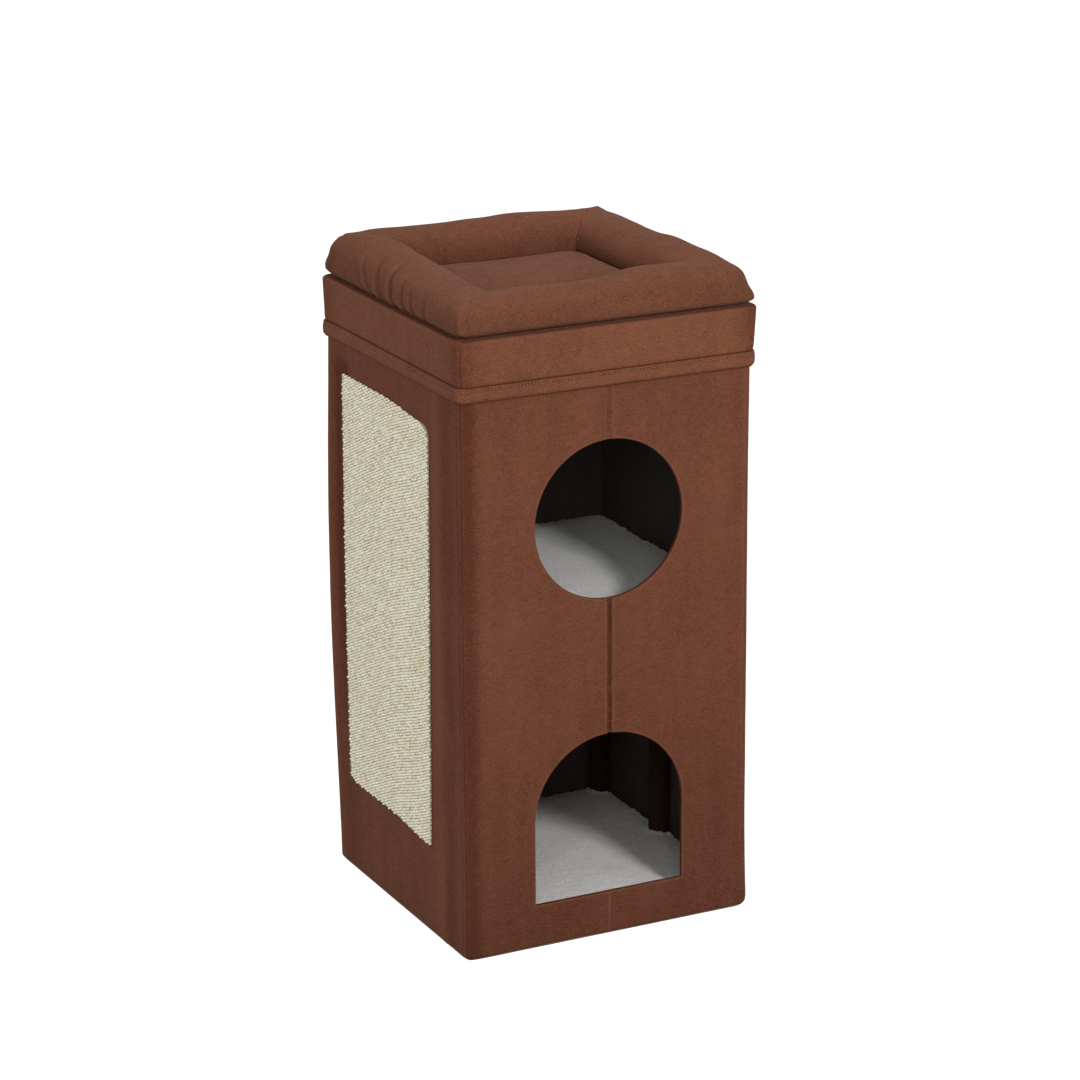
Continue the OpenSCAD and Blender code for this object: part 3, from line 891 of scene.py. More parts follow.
# %% The mat's outline and body
MAT_ROUND = 18 * MM
MAT_TIP = 4 * MM
MAT_BODY = 2.3 * MM
MAT_CELL = 30 * MM
OVERHANG = 1.6 * MM
SHADED_BODY_YARN = -2.0


def mat_outline(inset):
    """The mat from outside: across is from the back edge, which loops overhang, to the front one."""
    left, right = -mat_high.y + inset, -mat_low.y - inset
    low, high = mat_low.z + inset, mat_high.z - inset
    big, small = MAT_ROUND - inset, MAT_TIP - inset
    line = arc(right - big, high - big, big, 0, 90, 13)
    line += arc(left + small, high - small, small, 90, 180, 7)
    line += arc(left + big, low + big, big, 180, 270, 13)
    line += arc(right - small, low + small, small, 270, 360, 7)
    return line


mat_line = line_curve("sisal_mat", mat_outline(OVERHANG), "BOTH")
mat_line.data.extrude = MAT_BODY / 2
mat = meshed(mat_line)
across, height, thick = points(mat).T
move(mat, np.column_stack((mat_high.x - MAT_BODY / 2 - thick, -across, height)))
level = loops_at(2, np.arange(mat_low.z + MAT_CELL, mat_high.z, MAT_CELL))
upright = loops_at(1, np.arange(mat_low.y + MAT_CELL, mat_high.y, MAT_CELL))
edited(mat, merge(SAME_POINT), FACE_OUT, *level, *upright)
paint(mat, "yarn", np.full(len(mat.data.vertices), SHADED_BODY_YARN))
print("mat body", len(mat.data.polygons), "faces")

# %% One loop, then the weave
LOOP_PITCH = 8.4 * MM
ROW_PITCH = 3.45 * MM
LOOP_HALF = 4.4 * MM
LOOP_OUT = 1.5 * MM
LOOP_UP = 1.7 * MM
LOOP_SINK = 0.5 * MM
SLOPE = math.radians(24)
FIELD = (470 * MM, 600 * MM)
ROWS = int(FIELD[1] / ROW_PITCH)
LOOPS = int(FIELD[0] / LOOP_PITCH)


def bead(name):
    return added(bpy.ops.mesh.primitive_uv_sphere_add, name, segments=6, ring_count=4, radius=1)


def repeated(obj, count, step):
    return applied(
        obj, "ARRAY", count=count, use_relative_offset=False, use_constant_offset=True,
        constant_offset_displace=step, use_merge_vertices=False,
    )


weave = bead("sisal_weave")
out, up, along = points(weave).T
LOOP_POINTS = len(out)
girth = np.hypot(out, up)
blunt = np.where((girth > 0.1) & (girth < 0.9), 1.25, 1.0)
out_way = out * blunt * LOOP_OUT - LOOP_SINK * along**2
move(weave, np.column_stack((-out_way, along * LOOP_HALF, up * blunt * LOOP_UP)))
repeated(weave, LOOPS, (0, LOOP_PITCH, 0))
repeated(weave, ROWS, (0, 0, ROW_PITCH))
print("loops set out", LOOPS * ROWS)

# %% Nudge the loops and turn the field
NUDGE = np.array((0.2, 0.5, 0.16)) * MM
ROW_SHIFT = 0.41
STAND_OFF = 1.4 * MM

rng = np.random.default_rng(41)
loops = points(weave).reshape(-1, LOOP_POINTS, 3)
middle = loops.mean(1, keepdims=True)
row = np.repeat(np.arange(ROWS), LOOPS)
nudge = rng.normal(0, 1, (len(loops), 1, 3)) * NUDGE
nudge[:, 0, 1] += (row * ROW_SHIFT % 1) * LOOP_PITCH
fat = rng.uniform(0.9, 1.1, (len(loops), 1, 1))
loops = (loops - middle) * fat + middle + nudge
out_x, run_y, row_z = loops[..., 0], loops[..., 1] - FIELD[0] / 2, loops[..., 2] - FIELD[1] / 2
mat_middle = (mat_low + mat_high) / 2
loop_y = run_y * math.cos(SLOPE) + row_z * math.sin(SLOPE) + mat_middle.y
loop_z = row_z * math.cos(SLOPE) - run_y * math.sin(SLOPE) + mat_middle.z
loops = np.stack((out_x + mat_low.x + STAND_OFF, loop_y, loop_z), axis=-1)
move(weave, loops.reshape(-1, 3))
paint(weave, "yarn", np.repeat(rng.uniform(-0.6, 0.6, len(loops)), LOOP_POINTS))
print("slope of the ridges", round(math.degrees(SLOPE)), "degrees")

# %% Trim the weave to the mat
LEAN_BACK = 9 * MM
LEAN_AHEAD = 2 * MM
BACK_BOW = 3 * MM
HANG = 7 * MM
TRIM = 0.3 * MM
BACK_INSET = 2.6 * MM
LOW_INSET = 1.4 * MM
CORNER_INSET = 2 * MM


def askew(where):
    """The mat was sewn on a little askew: its front edge leans back and hangs lower than the back one."""
    x, y, z = where.T
    share = np.clip((mat_high.y - y) / (mat_high.y - mat_low.y), 0, 1)
    low = np.clip((mat_high.z - z) / (mat_high.z - mat_low.z), 0, 1)
    lean = share * (LEAN_BACK * low - LEAN_AHEAD) + (1 - share) * BACK_BOW * np.sin(math.pi * low)
    return np.column_stack((x, y + lean, z - HANG * soft_step(share, 0.5, 0.95)))


centre_y, centre_z = loops.mean(1)[:, 1:].T
from_front, from_back = centre_y - mat_low.y, mat_high.y - centre_y
from_low, from_high = centre_z - mat_low.z, mat_high.z - centre_z
inside = (from_front > 0) & (from_back > BACK_INSET) & (from_low > LOW_INSET) & (from_high > 0)
for side_gap, end_gap in ((from_front, from_high), (from_back, from_low)):
    in_corner = (side_gap < MAT_ROUND) & (end_gap < MAT_ROUND)
    past_round = np.hypot(MAT_ROUND - side_gap, MAT_ROUND - end_gap) > MAT_ROUND - CORNER_INSET
    inside &= ~(in_corner & past_round)
trimmed = points(weave)
trimmed[:, 1] = np.maximum(trimmed[:, 1], mat_low.y + TRIM)
trimmed[:, 2] = np.minimum(trimmed[:, 2], mat_high.z - TRIM)
move(weave, trimmed)
for part in (weave.data.polygons, weave.data.edges):
    part.foreach_set("select", np.zeros(len(part), bool))
weave.data.vertices.foreach_set("select", np.repeat(~inside, LOOP_POINTS))
pick(weave)
bpy.ops.object.mode_set(mode="EDIT")
bpy.ops.mesh.select_mode(type="VERT")
bpy.ops.mesh.delete(type="VERT")
bpy.ops.object.mode_set(mode="OBJECT")
mat.select_set(True)
bpy.ops.object.join()
smooth(move(weave, settled(askew(points(weave)))), 70)
hand_over(weave, "tower", "sisal", SISAL, "scratch_pad")
print("loops kept", int(inside.sum()))

# %% [markdown]
# ## The post sleeves
# Each dowel wears a loose sleeve of suede, sewn to the wall down its back; its finish is a much darker copy
# of the suede, painted shade for the posts, which stand in shadow. The cloth is cut flat, rolled into a tube
# and closed. It is wider than the dowel, so it falls in long upright pleats.

# %% Sleeves
SLEEVE_T = 1.0 * MM
SLEEVE_CELL = 3.2 * MM
SLEEVE_PLAY = 0.2 * MM
LOOSE = 2.6 * MM
PLEAT_STRETCH = 0.08


def sleeve(name):
    low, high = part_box(name)
    wall_side = -1 if low.x < 0 else 1
    middle_y = (low.y + high.y) / 2
    radius = (high.y - low.y) / 2
    middle_x = high.x - radius if wall_side < 0 else low.x + radius
    around = 2 * math.pi * radius
    low_z, high_z = low.z + SLEEVE_PLAY, high.z - SLEEVE_PLAY
    cloth = flat_cloth(name + "_cloth", -around / 2, around / 2, low_z, high_z, SLEEVE_CELL, SLEEVE_T)
    along, back, height = points(cloth).T
    angle = along / radius
    drawn_out = height * PLEAT_STRETCH + middle_y
    spots = np.column_stack((np.cos(angle) * radius, np.sin(angle) * radius, drawn_out))
    loose = LOOSE * (0.5 + 0.5 * np.cos(angle)) + waves(spots, (1.5, 8, middle_x * 40))
    ends = np.minimum(height - low_z, high_z - height)
    reach = radius - back + np.maximum(loose - end_dip(ends, 10 * MM, 0.6 * MM), 0)
    x = middle_x - wall_side * reach * np.cos(angle)
    move(cloth, np.column_stack((x, middle_y + reach * np.sin(angle), height)))
    smooth(edited(cloth, merge(SEAM_GAP), FACE_OUT), 60)
    hand_over(cloth, "tower", "suede", SHADED_POST_SUEDE, name)


for side in ("left", "right"):
    for where in ("front", "middle", "back"):
        sleeve(side + "_" + where + "_sleeve")

# %% [markdown]
# ## Stuffed pieces
# The bed's four rolls, its middle pad and the two fleece floors are stuffed. Each starts as a copy of its own
# solid or as a rounded block, remeshed into even squares. Cloth with a little pressure inside swells it, the
# seams are pinned so that it stays where it is sewn, and no point may move further than a set way.

# %% Stuffing
SWELL_STEPS = 20
SWELL = {
    "quality": 5, "mass": 0.3, "tension_stiffness": 12, "compression_stiffness": 12, "bending_stiffness": 0.6,
    "use_pressure": True, "uniform_pressure_force": 4.0, "vertex_group_mass": "sewn",
}


def copied(name, node):
    """A merged copy of a node's mesh as a new piece."""
    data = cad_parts[node].data.copy()
    made = bpy.data.objects.new(name, data)
    scene.collection.objects.link(made)
    edited(made, merge(SAME_POINT))
    for spare in [a.name for a in data.attributes if not a.is_required and not a.is_internal]:
        data.attributes.remove(data.attributes[spare])
    data.materials.clear()
    return made


def swell(made, held, most):
    """Blow up a cloth form for a moment. held is how firmly each point is sewn down."""
    start = points(made)
    group = made.vertex_groups.new(name="sewn")
    for index in np.flatnonzero(held > 0.01):
        group.add([int(index)], float(held[index]), "REPLACE")
    pick(made)
    cloth = made.modifiers.new("swell", "CLOTH")
    for key, value in SWELL.items():
        setattr(cloth.settings, key, value)
    cloth.settings.effector_weights.gravity = 0
    cloth.point_cache.frame_end = SWELL_STEPS
    for step in range(1, SWELL_STEPS + 1):
        scene.frame_set(step)
    bpy.ops.object.modifier_apply(modifier="swell")
    scene.frame_set(1)
    moved = points(made) - start
    far = np.linalg.norm(moved, axis=1, keepdims=True)
    move(made, start + moved * np.minimum(1, most / np.maximum(far, 1e-9)))
    made.vertex_groups.clear()
    print(made.name, "swelled by up to", round(float(far.max()) / MM, 1), "mm")


def stuffed(made, pinned, slim, most, voxel):
    """A solid turned into a swollen cloth form. pinned tells which points are sewn down."""
    applied(made, "REMESH", mode="VOXEL", voxel_size=voxel, use_smooth_shade=True)
    before = points(made)
    held = pinned(before)
    move(made, before - points(made, "normal") * slim * (1 - held)[:, None])
    swell(made, held, most)
    return applied(made, "SUBSURF", levels=1, render_levels=1)


print("cloth swells for", SWELL_STEPS, "steps")

# %% [markdown]
# ### The bolsters
# Four stuffed rolls make the rim of the bed. They meet at mitre seams in the corners with hardly a dip, so
# after the stuffing each roll is carried on to its mitre planes. The filling isn't even: the front right
# corner and the back stand higher. The lower seam of the left roll is gathered, so short leaning folds rise
# from it.

# %% How the rolls lie
bed_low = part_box("front_bolster")[0]
BED_FLOOR = bed_low.z
BED_HALF = -bed_low.y
MITRE_PLAY = 0.15 * MM
SEAM_WAVE = 0.8 * MM
ROUND_FRONT_RIGHT = 41 * MM
ROUND_BACK_LEFT = 30 * MM
ROUND_OTHERS = 12 * MM
FOOT_OUT = 2.4 * MM
FOOT_DOWN = 0.9 * MM


def mitre_gap(where):
    """How far each point is from the mitre seam in its corner."""
    return np.abs(np.abs(where[:, 0]) - np.abs(where[:, 1])) / math.sqrt(2)


def bolster_pins(where):
    seam = 1 - soft_step(mitre_gap(where), 3 * MM, 12 * MM)
    foot = 1 - soft_step(where[:, 2] - BED_FLOOR, 2 * MM, 9 * MM)
    return np.maximum(seam, foot)


def carried_on(where, side, stretch):
    """Stretch the ends of a roll along its run, up to the wavy mitre seams and no further."""
    run, across = (0, 1) if side in ("front", "back") else (1, 0)
    wave = SEAM_WAVE * np.sin((np.abs(where[:, 0]) + np.abs(where[:, 1])) / (6 * MM))
    limit = np.abs(where[:, across]) - MITRE_PLAY + (wave if run == 0 else -wave)
    reach = np.abs(where[:, run])
    longer = reach + stretch * (1 - soft_step(limit - reach, 0, 45 * MM))
    closed = where.copy()
    closed[:, run] = np.sign(where[:, run]) * np.minimum(longer, limit)
    return closed


def loft(where):
    """How much higher or lower the filling stands than an even roll."""
    x, y, z = where.T / MM
    high = 7.0 * soft_step(x - y, 120, 230) * (1 - 0.5 * soft_step(x - y, 270, 350))
    high -= 2.5 * hump(x, -20, 90) * soft_step(-y, 90, 130)
    high += 2.5 * hump(y, 90, 80) * soft_step(-x, 90, 130)
    high += 2.0 * hump(x, 0, 120) * soft_step(y, 90, 130)
    return high * MM * soft_step(z - BED_FLOOR / MM, 6, 40)


def spread_foot(where, side):
    """The lower outer edge of a roll is pushed out and down by its filling."""
    across, way = {"front": (1, -1), "back": (1, 1), "left": (0, -1), "right": (0, 1)}[side]
    up = where[:, 2] - BED_FLOOR
    low = soft_step(way * where[:, across], BED_HALF - 40 * MM, BED_HALF - 8 * MM)
    low *= 1 - soft_step(up, 6 * MM, 26 * MM)
    spread = where.copy()
    spread[:, across] += way * FOOT_OUT * low
    spread[:, 2] -= FOOT_DOWN * low * (1 - soft_step(up, 2 * MM, 12 * MM))
    return spread


def round_corner(where):
    """Turn the outer corners of the bed round like a bend in a tube, less at the foot; two are rounder."""
    x, y, z = where.T
    rounder = np.where(x > 0, ROUND_FRONT_RIGHT, ROUND_BACK_LEFT)
    inner = BED_HALF - np.where(x * y < 0, rounder, ROUND_OTHERS)
    past_x = np.maximum(np.abs(x) - inner, 0)
    past_y = np.maximum(np.abs(y) - inner, 0)
    share = np.maximum(past_x, past_y) / np.maximum(np.hypot(past_x, past_y), 0.01 * MM)
    pull = np.where((past_x > 0) & (past_y > 0), 1 - share, 0) * soft_step(z - BED_FLOOR, 0, 40 * MM)
    return np.column_stack((x - np.sign(x) * past_x * pull, y - np.sign(y) * past_y * pull, z))


print("bed stands from", BED_FLOOR, "and reaches", BED_HALF)

# %% Gathers of the left roll
GATHER_STRENGTH = 1.2
GATHERS = [
    (66, 0.9, 30, 1.4, 4.5), (49, 0.7, 52, 2.4, 3.0), (40, 0.9, 34, 1.8, 2.2), (17, 0.5, 60, 2.6, 4.2),
    (4, 0.8, 36, 2.2, 2.4), (-16, 0.35, 66, 3.0, 3.6), (-24, 0.9, 28, 1.6, 2.0), (-48, 0.3, 48, 2.2, 4.0),
    (-76, 0.5, 38, 2.6, 2.6), (-104, 0.1, 44, 1.5, 4.4),
]


def gathers(where):
    """Short folds that rise from the lower seam: where each starts, its lean, length, depth and width."""
    x, y, z = where.T / MM
    up = z - BED_FLOOR / MM
    outer = soft_step(-x, BED_HALF / MM - 36, BED_HALF / MM - 12)
    wander = 1.5 * ripple(where, 18 * MM, 9.0)
    folds = np.zeros_like(x)
    for start, lean, length, deep, wide in GATHERS:
        off = y - start - lean * up - wander
        fade = deep * np.clip(1 - up / length, 0, 1) ** 0.7 * soft_step(up, 0, 5)
        folds += fade * (0.5 * hump(off, 2 * wide, 1.3 * wide) - hump(off, 0, wide))
    return GATHER_STRENGTH * folds * outer * MM


print("gathers", len(GATHERS))

# %% Bolsters
ROLL_SLIM = 2 * MM
ROLL_SWELL = 8 * MM
ROLL_VOXEL = 5 * MM
FIRST_STRETCH = 9 * MM
LAST_STRETCH = 1.6 * MM
SEAM_DIP = 0.5 * MM


def bolster(side):
    node = side + "_bolster"
    made = stuffed(copied(node + "_cloth", node), bolster_pins, ROLL_SLIM, ROLL_SWELL, ROLL_VOXEL)
    applied(made, "SMOOTH", factor=0.5, iterations=6)
    move(made, carried_on(spread_foot(points(made), side), side, FIRST_STRETCH))
    where = points(made)
    up = where[:, 2] - BED_FLOOR
    free = soft_step(up, 2 * MM, 14 * MM)
    gap = mitre_gap(where)
    lift = waves(where, (2.4, 95, 1.0), (1.0, 38, 6.0)) * soft_step(gap, 2 * MM, 30 * MM)
    puckers = waves(where * np.array((1, 1, 0.35)), (0.8, 12, 8.0))
    lift += puckers * (1 - soft_step(gap, 6 * MM, 45 * MM))
    lift = free * (lift - SEAM_DIP * (1 - soft_step(gap, 0, 3 * MM)))
    folds = gathers(where) if side == "left" else np.zeros_like(lift)
    lifted = where + points(made, "normal") * (lift + folds)[:, None]
    lifted[:, 2] += loft(where)
    move(made, round_corner(carried_on(lifted, side, LAST_STRETCH)))
    rub_light_and_shade = 0.45 * (1 - soft_step(gap, 0.8 * MM, 3.2 * MM)) * free
    # The foot of the roll is painted darker, a painted shadow where it sits on the bed; the gathers' hollows
    # are painted darker and their crests paler, painted shade and painted highlight.
    rub_light_and_shade -= 0.8 * (1 - soft_step(up, 1 * MM, 6 * MM))
    paint(made, "rub_light_and_shade", rub_light_and_shade + np.clip(folds / (5 * MM), -0.6, 0.25))
    hand_over(smooth(made, 80), "bed", "suede", SHADED_BED_SUEDE, node)


for side in SIDES:
    bolster(side)

# %% The middle pad of the bed
PAD_SLIM = 2 * MM
PAD_SWELL = 6 * MM
PAD_VOXEL = 6 * MM
PLUMP = 0.03


def pad_pins(where):
    low, high = where.min(0), where.max(0)
    edge = np.minimum(where - low, high - where)[:, :2].min(1)
    foot = 1 - soft_step(where[:, 2] - low[2], 2 * MM, 8 * MM)
    return np.maximum(foot, 0.6 * (1 - soft_step(edge, 2 * MM, 8 * MM)))


bed_pad = stuffed(copied("bed_pad_cloth", "bed_pad"), pad_pins, PAD_SLIM, PAD_SWELL, PAD_VOXEL)
where = points(bed_pad)
free = soft_step(where[:, 2] - BED_FLOOR, 4 * MM, 14 * MM)[:, None]
dimples = waves(where, (1.6, 60, 2.0), (0.6, 22, 5.0))
wider = 1 + PLUMP * free * np.array((1, 1, 0))
move(bed_pad, where * wider + points(bed_pad, "normal") * dimples[:, None] * free)
hand_over(smooth(bed_pad, 80), "bed", "suede", SHADED_BED_SUEDE, "bed_pad")

# %% [markdown]
# ### The fleece floors
# The floor and the shelf are pads of short curly fleece on a board, full to the walls. Each is a rounded
# block, stuffed as the bed is. Then its surface is pushed in and out at two sizes, so that the pile is real
# in outline as well as in colour. Round the feet of the posts, which press on it, the pile stands up.

# %% Fleece pads
FLEECE_SLIM = 1.5 * MM
FLEECE_SWELL = 3 * MM
FLEECE_EDGE = 5 * MM
FLEECE_PLAY = 1 * MM
CURL_HIGH = 3.6 * MM
CURL_OUT = 16.5 * MM
UNDER_POST = 13.2 * MM


def soft_block(name, low, high):
    """A block with rolled edges, as the start of a pad."""
    made = placed(added(bpy.ops.mesh.primitive_cube_add, name, size=1), (low + high) / 2, high - low)
    return applied(made, "BEVEL", width=FLEECE_EDGE, segments=3)


def round_posts(where, posts, top):
    """Stand the pile up round the foot of each post, and keep it flat underneath."""
    curled = where.copy()
    near_top = soft_step(where[:, 2], top - 8 * MM, top - 2 * MM)
    tufts = 0.7 + 0.9 * ripple(where, 8 * MM, 12.0)
    for post in posts:
        low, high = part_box(post)
        middle = (low + high) / 2
        out = np.hypot(where[:, 0] - middle.x, where[:, 1] - middle.y)
        curled[:, 2] += CURL_HIGH * tufts * near_top * hump(out, CURL_OUT, 3.6 * MM)
        under = out < UNDER_POST
        curled[under, 2] = np.minimum(curled[under, 2], low.z - 0.3 * MM)
    return curled


def fleece_pad(name, node, body, posts=()):
    low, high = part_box(node)
    made = stuffed(soft_block(name, low, high), pad_pins, FLEECE_SLIM, FLEECE_SWELL, PAD_VOXEL)
    where = points(made)
    free = soft_step(where[:, 2] - low.z, 3 * MM, 10 * MM)
    edge = np.minimum(where - np.array(low), np.array(high) - where)[:, :2].min(1)
    shaggy = 1 + 1.2 * (1 - soft_step(edge, 4 * MM, 22 * MM))
    pile = waves(where, (0.85, 7, 2.0), (0.75, 3.8, 5.0)) * shaggy + waves(where, (1.2, 70, 8.0))
    lifted = where + points(made, "normal") * (pile * free)[:, None]
    lifted[:, :2] = np.clip(lifted[:, :2], np.array(low)[:2] - FLEECE_PLAY, np.array(high)[:2] + FLEECE_PLAY)
    move(made, round_posts(lifted, posts, high.z))
    hand_over(smooth(made, 80), body, "fleece", FLEECE, node)


sleeves = [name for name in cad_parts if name.endswith("_sleeve")]
fleece_pad("floor_fleece", "floor_pad", "tower", sleeves)
fleece_pad("shelf_fleece", "shelf_pad", "shelf")

# %% [markdown]
# ## The lid's skirt
# The lid is a board with a skirt of four suede panels, sewn at the corners, that flares a little towards its
# top edge and rolls softly over it. Each panel is shaped as if for the front and turned to its own side.
# A hem band runs round the foot of the skirt in one piece, stitched along its upper edge.

# %% Skirt panels
hem_low, hem_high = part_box("hem_band")
SKIRT_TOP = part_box("skirt_front")[1].z
SKIRT_FOOT_HALF = HALF + 2.6 * MM
SKIRT_TOP_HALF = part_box("skirt_right")[1].x
SKIRT_T = 1.5 * MM
SKIRT_CELL = 6 * MM
TOP_ROLL = 3.5 * MM
ROLL_LENGTH = TOP_ROLL * math.pi / 2
SKIRT_RISE = SKIRT_TOP - TOP_ROLL
SKIRT_FOOT = hem_high.z - 6 * MM
SKIRT_HIGH = SKIRT_RISE + ROLL_LENGTH + 6 * MM
SKIRT_ARC = 11 * MM
SKIRT_REACH = STRAIGHT + SKIRT_ARC
SKIRT_CUTS = [way * (STRAIGHT + step * MM) for step in (1, 3, 5, 7, 9, 10.2) for way in (-1, 1)]
SKIRT_LEVELS = places(hem_high.z, 0.4, 0.9, 1.5, 2.2, 3.2)
SKIRT_LEVELS += places(SKIRT_RISE, -2, 0.9, 1.8, 2.7, 3.6, 4.6)


def skirt_half(height):
    """How far out the skirt stands at each height."""
    share = np.clip((height - hem_low.z) / (SKIRT_TOP - hem_low.z), 0, 1)
    return SKIRT_FOOT_HALF + (SKIRT_TOP_HALF - SKIRT_FOOT_HALF) * share**0.9


def round_lid(side, along, half, height):
    """Bend cloth that stands this far out round the lid's corners, and turn it to its own side."""
    angle = np.sign(along) * np.clip((np.abs(along) - STRAIGHT) / SKIRT_ARC, 0, 1) * math.pi / 4
    radius = half - STRAIGHT
    x = np.clip(along, -STRAIGHT, STRAIGHT) + radius * np.sin(angle)
    return settled(turned_to(side, x, -STRAIGHT - radius * np.cos(angle), height))


def skirt_panel(side):
    cloth = flat_cloth(
        "skirt_" + side + "_suede", -SKIRT_REACH, SKIRT_REACH, SKIRT_FOOT, SKIRT_HIGH, SKIRT_CELL, SKIRT_T,
        SKIRT_CUTS, SKIRT_LEVELS,
    )
    along, back, height = points(cloth).T
    spots = on_side(side, along, height)
    from_end = SKIRT_REACH - np.abs(along)
    past = np.clip(height - SKIRT_RISE, 0, None)
    angle = np.clip(past / TOP_ROLL, 0, math.pi / 2)
    flat_in = np.clip(past - ROLL_LENGTH, 0, None)
    bulge = waves(spots, (0.7, 75, 3.0), (0.3, 24, 5.0))
    pinch = end_dip(height - hem_high.z, 6 * MM, 1.2 * MM) * (height >= hem_high.z)
    seam = end_dip(from_end, 3 * MM, 1.0 * MM)
    half = skirt_half(height) - TOP_ROLL * (1 - np.cos(angle)) - flat_in
    half += (bulge - pinch - seam - back) * np.cos(angle)
    rise = np.minimum(height, SKIRT_RISE) + (TOP_ROLL - back - seam) * np.sin(angle)
    move(cloth, round_lid(side, along, half, rise))
    # Painted shade: darker towards the sewn corners and in a thin line in the seam just above the hem band.
    paint(cloth, "rub_light_and_shade", -0.35 * hump(from_end, 0, 17 * MM) - hump(height, hem_high.z + 0.6 * MM, 1.1 * MM))
    hand_over(smooth(cloth, 60), "lid", "suede", LIT_LID_SUEDE, "skirt_" + side)


for side in SIDES:
    skirt_panel(side)

# %% [markdown]
# ### The hem band and its stitching
# The band is one long folded strip. Each quarter of it is shaped from a flat cut and turned to its own side,
# and the four are joined. Its stitches are beads of thread: one is modelled and copied along the band.

# %% Hem band
BAND_T = 2.2 * MM
BAND_STAND = 2.2 * MM
BAND_CELL = 5 * MM
STITCH_Z = hem_high.z - 3.2 * MM
BAND_LEVELS = places(hem_low.z, 0.4, 0.9, 1.6, 2.5, 3.6, 5.0)
BAND_LEVELS += places(hem_high.z, -0.5, -1.2, -2.4, -3.6)


def band_quarter(side):
    cloth = flat_cloth(
        "band_" + side, -SKIRT_REACH, SKIRT_REACH, hem_low.z, hem_high.z, BAND_CELL, BAND_T,
        SKIRT_CUTS, BAND_LEVELS,
    )
    along, back, height = points(cloth).T
    outside = back < 0.5 * BAND_T
    rounding = end_dip(hem_high.z - height, 2.6 * MM, 1.1 * MM)
    rounding += end_dip(height - hem_low.z, 4.5 * MM, 1.9 * MM)
    full = 0.9 * MM * np.sin(math.pi * np.clip((height - hem_low.z) / (STITCH_Z - hem_low.z), 0, 1))
    sunk = rounding + 0.7 * MM * hump(height, STITCH_Z, 0.9 * MM)
    half = skirt_half(height) + BAND_STAND - back + np.where(outside, full - sunk, 0.3 * rounding)
    return move(cloth, round_lid(side, along, half, height))


quarters = [band_quarter(side) for side in SIDES]
band = pick(quarters[0])
for quarter in quarters[1:]:
    quarter.select_set(True)
bpy.ops.object.join()
edited(named(band, "hem_band_suede"), merge(SEAM_GAP))
bpy.ops.object.mode_set(mode="EDIT")
bpy.ops.mesh.select_all(action="DESELECT")
bpy.ops.mesh.select_interior_faces()
bpy.ops.mesh.delete(type="FACE")
bpy.ops.object.mode_set(mode="OBJECT")
where = points(band)
level = where * np.array((1, 1, 0))
outward = level / np.linalg.norm(level, axis=1, keepdims=True)
wave = waves(level, (0.5, 70, 4.0)) + waves(where, (0.25, 21, 6.0))
move(band, where + outward * wave[:, None])
height = where[:, 2]
# Painted shade along the sunk stitch line, and a painted shadow along the band's lower edge.
foot = hump(np.maximum(height, hem_low.z), hem_low.z, 1.8 * MM)
paint(band, "rub_light_and_shade", -0.8 * hump(height, STITCH_Z, 1.0 * MM) - foot)
hand_over(smooth(band, 60), "lid", "suede", LIT_LID_SUEDE, "hem_band")

# %% Stitches along the band
STITCH = 3.4 * MM
STITCH_R = 0.42 * MM
STITCH_PITCH = 4.3 * MM
STITCH_TILT = 0.12 * MM
STITCH_SINK = 0.35 * MM
STITCH_HALF = float(skirt_half(np.array([STITCH_Z]))[0]) + BAND_STAND - STITCH_SINK
STITCH_TURN = STITCH_HALF - STRAIGHT
QUARTER = 2 * STRAIGHT + STITCH_TURN * math.pi / 2
STITCHES = int(4 * QUARTER / STITCH_PITCH)


def band_spot(distance):
    """A spot on the stitch line, turned the way that the line runs."""
    turns, rest = divmod(distance, QUARTER)
    heading = max(rest - 2 * STRAIGHT, 0) / STITCH_TURN
    x = min(rest, 2 * STRAIGHT) - STRAIGHT + STITCH_TURN * math.sin(heading)
    y = -STRAIGHT - STITCH_TURN * math.cos(heading)
    spun = Matrix.Rotation(turns * math.pi / 2, 4, "Z")
    return spun @ Matrix.Translation((x, y, STITCH_Z)) @ Matrix.Rotation(heading, 4, "Z")


stitch = bead("stitch")
x, y, z = points(stitch).T
single = np.column_stack((z * STITCH / 2, y * STITCH_R, x * STITCH_R))
faces = [list(polygon.vertices) for polygon in stitch.data.polygons]
all_points = []
all_faces = []
for number in range(STITCHES):
    spot = np.array(band_spot(number * 4 * QUARTER / STITCHES))
    tilt = rng.normal(0, STITCH_TILT, 3)
    all_points.append(single @ spot[:3, :3].T + spot[:3, 3] + tilt)
    all_faces += [[corner + number * len(single) for corner in face] for face in faces]
stitch.data = bpy.data.meshes.new("hem_stitches")
stitch.data.from_pydata(settled(np.concatenate(all_points)).tolist(), [], all_faces)
hand_over(smooth(named(stitch, "hem_stitches"), 80), "lid", "suede", THREAD)
print("stitches", STITCHES)

# %% [markdown]
# ## Cloths that are mostly hidden
# The top of the lid, its lining, the cloth under the bed and the cloth under the tower show only when
# something is lifted. Each is a flat cut with rounded corners and a little slack.

# %% Level cloths
LEVEL_CELLS = 48
CORNER_CUT = 14 * MM
BED_CORNER_CUT = 26 * MM


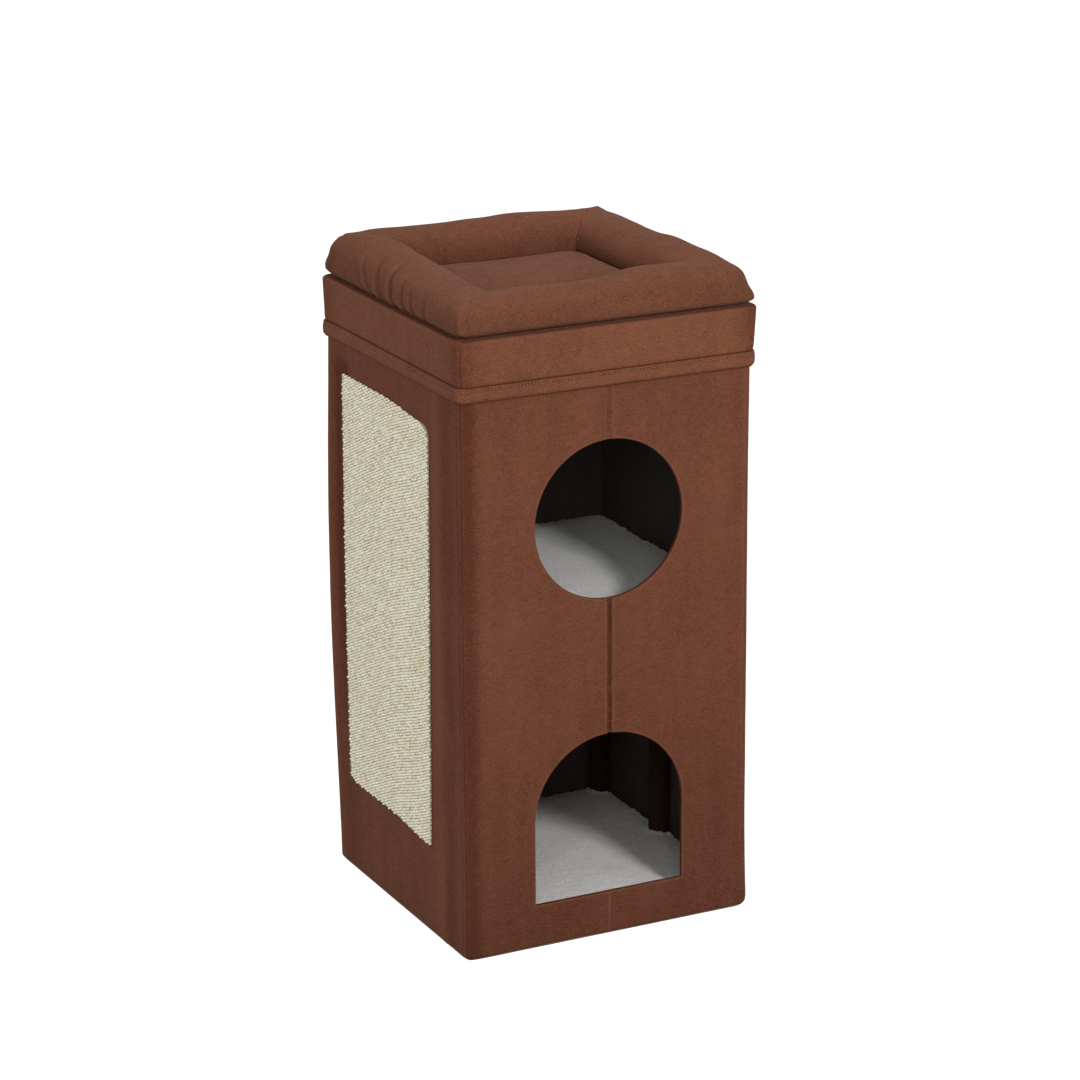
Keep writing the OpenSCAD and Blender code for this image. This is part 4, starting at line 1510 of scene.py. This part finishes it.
def level_cloth(name, node, body, slot, material, slack, corner=CORNER_CUT):
    low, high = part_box(node)
    half = (high.x - low.x) / 2
    inner = half - corner
    grid = bpy.ops.mesh.primitive_grid_add
    cloth = added(grid, name, x_subdivisions=LEVEL_CELLS, y_subdivisions=LEVEL_CELLS, size=2 * half)
    x, y, z = points(cloth).T
    over_x = np.clip(np.abs(x) - inner, 0, corner) / corner
    over_y = np.clip(np.abs(y) - inner, 0, corner) / corner
    x = np.sign(x) * (np.minimum(np.abs(x), inner) + corner * over_x * np.sqrt(1 - over_y**2 / 2))
    y = np.sign(y) * (np.minimum(np.abs(y), inner) + corner * over_y * np.sqrt(1 - over_x**2 / 2))
    spots = np.column_stack((x, y, np.full_like(x, low.z)))
    z = high.z - slack * (0.5 + 0.5 * ripple(spots, 55 * MM, 3.0))
    move(cloth, np.column_stack((x, y, z)))
    applied(cloth, "SOLIDIFY", thickness=(high.z - low.z) - slack, offset=-1, use_rim=True)
    hand_over(smooth(cloth, 50), body, slot, material, node)


level_cloth("lid_top_suede", "lid_top_cover", "lid", "suede", LIT_LID_SUEDE, 0.3 * MM)
level_cloth("lid_lining_cloth", "lid_lining", "lid", "lining", LINING, 0.2 * MM)
level_cloth(
    "bed_base", "bed_base_cloth", "bed", "suede", SHADED_BED_SUEDE, 0.3 * MM, BED_CORNER_CUT
)
level_cloth("tower_base", "base_cloth", "tower", "lining", LINING, 0.2 * MM)

# %% [markdown]
# ## The studio
# The floor is a pale plane. For the rays that show a background it glows just enough to reach white, so the
# soft shadow at the foot of the tower stays and the light on the tower doesn't change.
# One soft lamp stands nearly straight in front, a little above: the edge of its light on the lower floor
# gives its direction, and it stands near, so its light falls off down the front. Broad lamps beside the
# camera, overhead and on the left and an even white room fill the rest, so that the insides are shaded and
# not black.

# %% Floor
WHITE = (1, 1, 1, 1)
PAPER = (0.32, 0.32, 0.32, 1)
PAPER_GLOW = 0.92
floor = placed(added(bpy.ops.mesh.primitive_plane_add, "studio_floor", size=40), (0, 0, -0.2 * MM))
paper = Finish("paper")
paper.set(Base_Color=PAPER, Roughness=0.9, Specular_IOR_Level=0.0)
strength = paper.background_rays() * PAPER_GLOW
glow = paper.node("ShaderNodeEmission", None, {"Color": WHITE, "Strength": strength})
shown = paper.node("ShaderNodeAddShader", None, {0: Wire(paper, paper.shader.outputs[0]), 1: glow})
paper.feed(paper.tree.nodes["Material Output"].inputs["Surface"], shown)
wear(floor, paper.material)
print("floor laid")

# %% Lamps and room
ROOM_LIGHT = 0.45
AIM = Vector((0, 0, 0.4))
world = bpy.data.worlds.new("room")
world.use_nodes = True
scene.world = world
air = Wiring(world.node_tree)
room = air.node("ShaderNodeBackground", None, {"Color": WHITE, "Strength": ROOM_LIGHT})
backdrop = air.node("ShaderNodeBackground", None, {"Color": WHITE, "Strength": 1.0})
around = air.node("ShaderNodeMixShader", None, {0: air.background_rays(), 1: room, 2: backdrop})
air.feed(world.node_tree.nodes["World Output"].inputs["Surface"], around)


def softbox(name, azimuth, elevation, distance, size, power):
    """A square lamp, azimuth degrees to the right of the front and aimed at the tower."""
    data = bpy.data.lights.new(name, "AREA")
    data.size = size
    data.energy = power
    lamp = bpy.data.objects.new(name, data)
    a, e = math.radians(azimuth), math.radians(elevation)
    way = Vector((math.sin(a) * math.cos(e), -math.cos(a) * math.cos(e), math.sin(e)))
    lamp.location = AIM + way * distance
    lamp.rotation_euler = way.to_track_quat("Z", "Y").to_euler()
    scene.collection.objects.link(lamp)


softbox("key", azimuth=6, elevation=25, distance=2.16, size=0.34, power=23.6)
softbox("camera_side", azimuth=-27, elevation=22, distance=2.6, size=1.0, power=9.5)
softbox("overhead", azimuth=180, elevation=80, distance=2.2, size=1.0, power=18)
softbox("left_side", azimuth=-84, elevation=14, distance=3.0, size=1.2, power=23)
scene.view_settings.view_transform = "Standard"
print("lamps set")
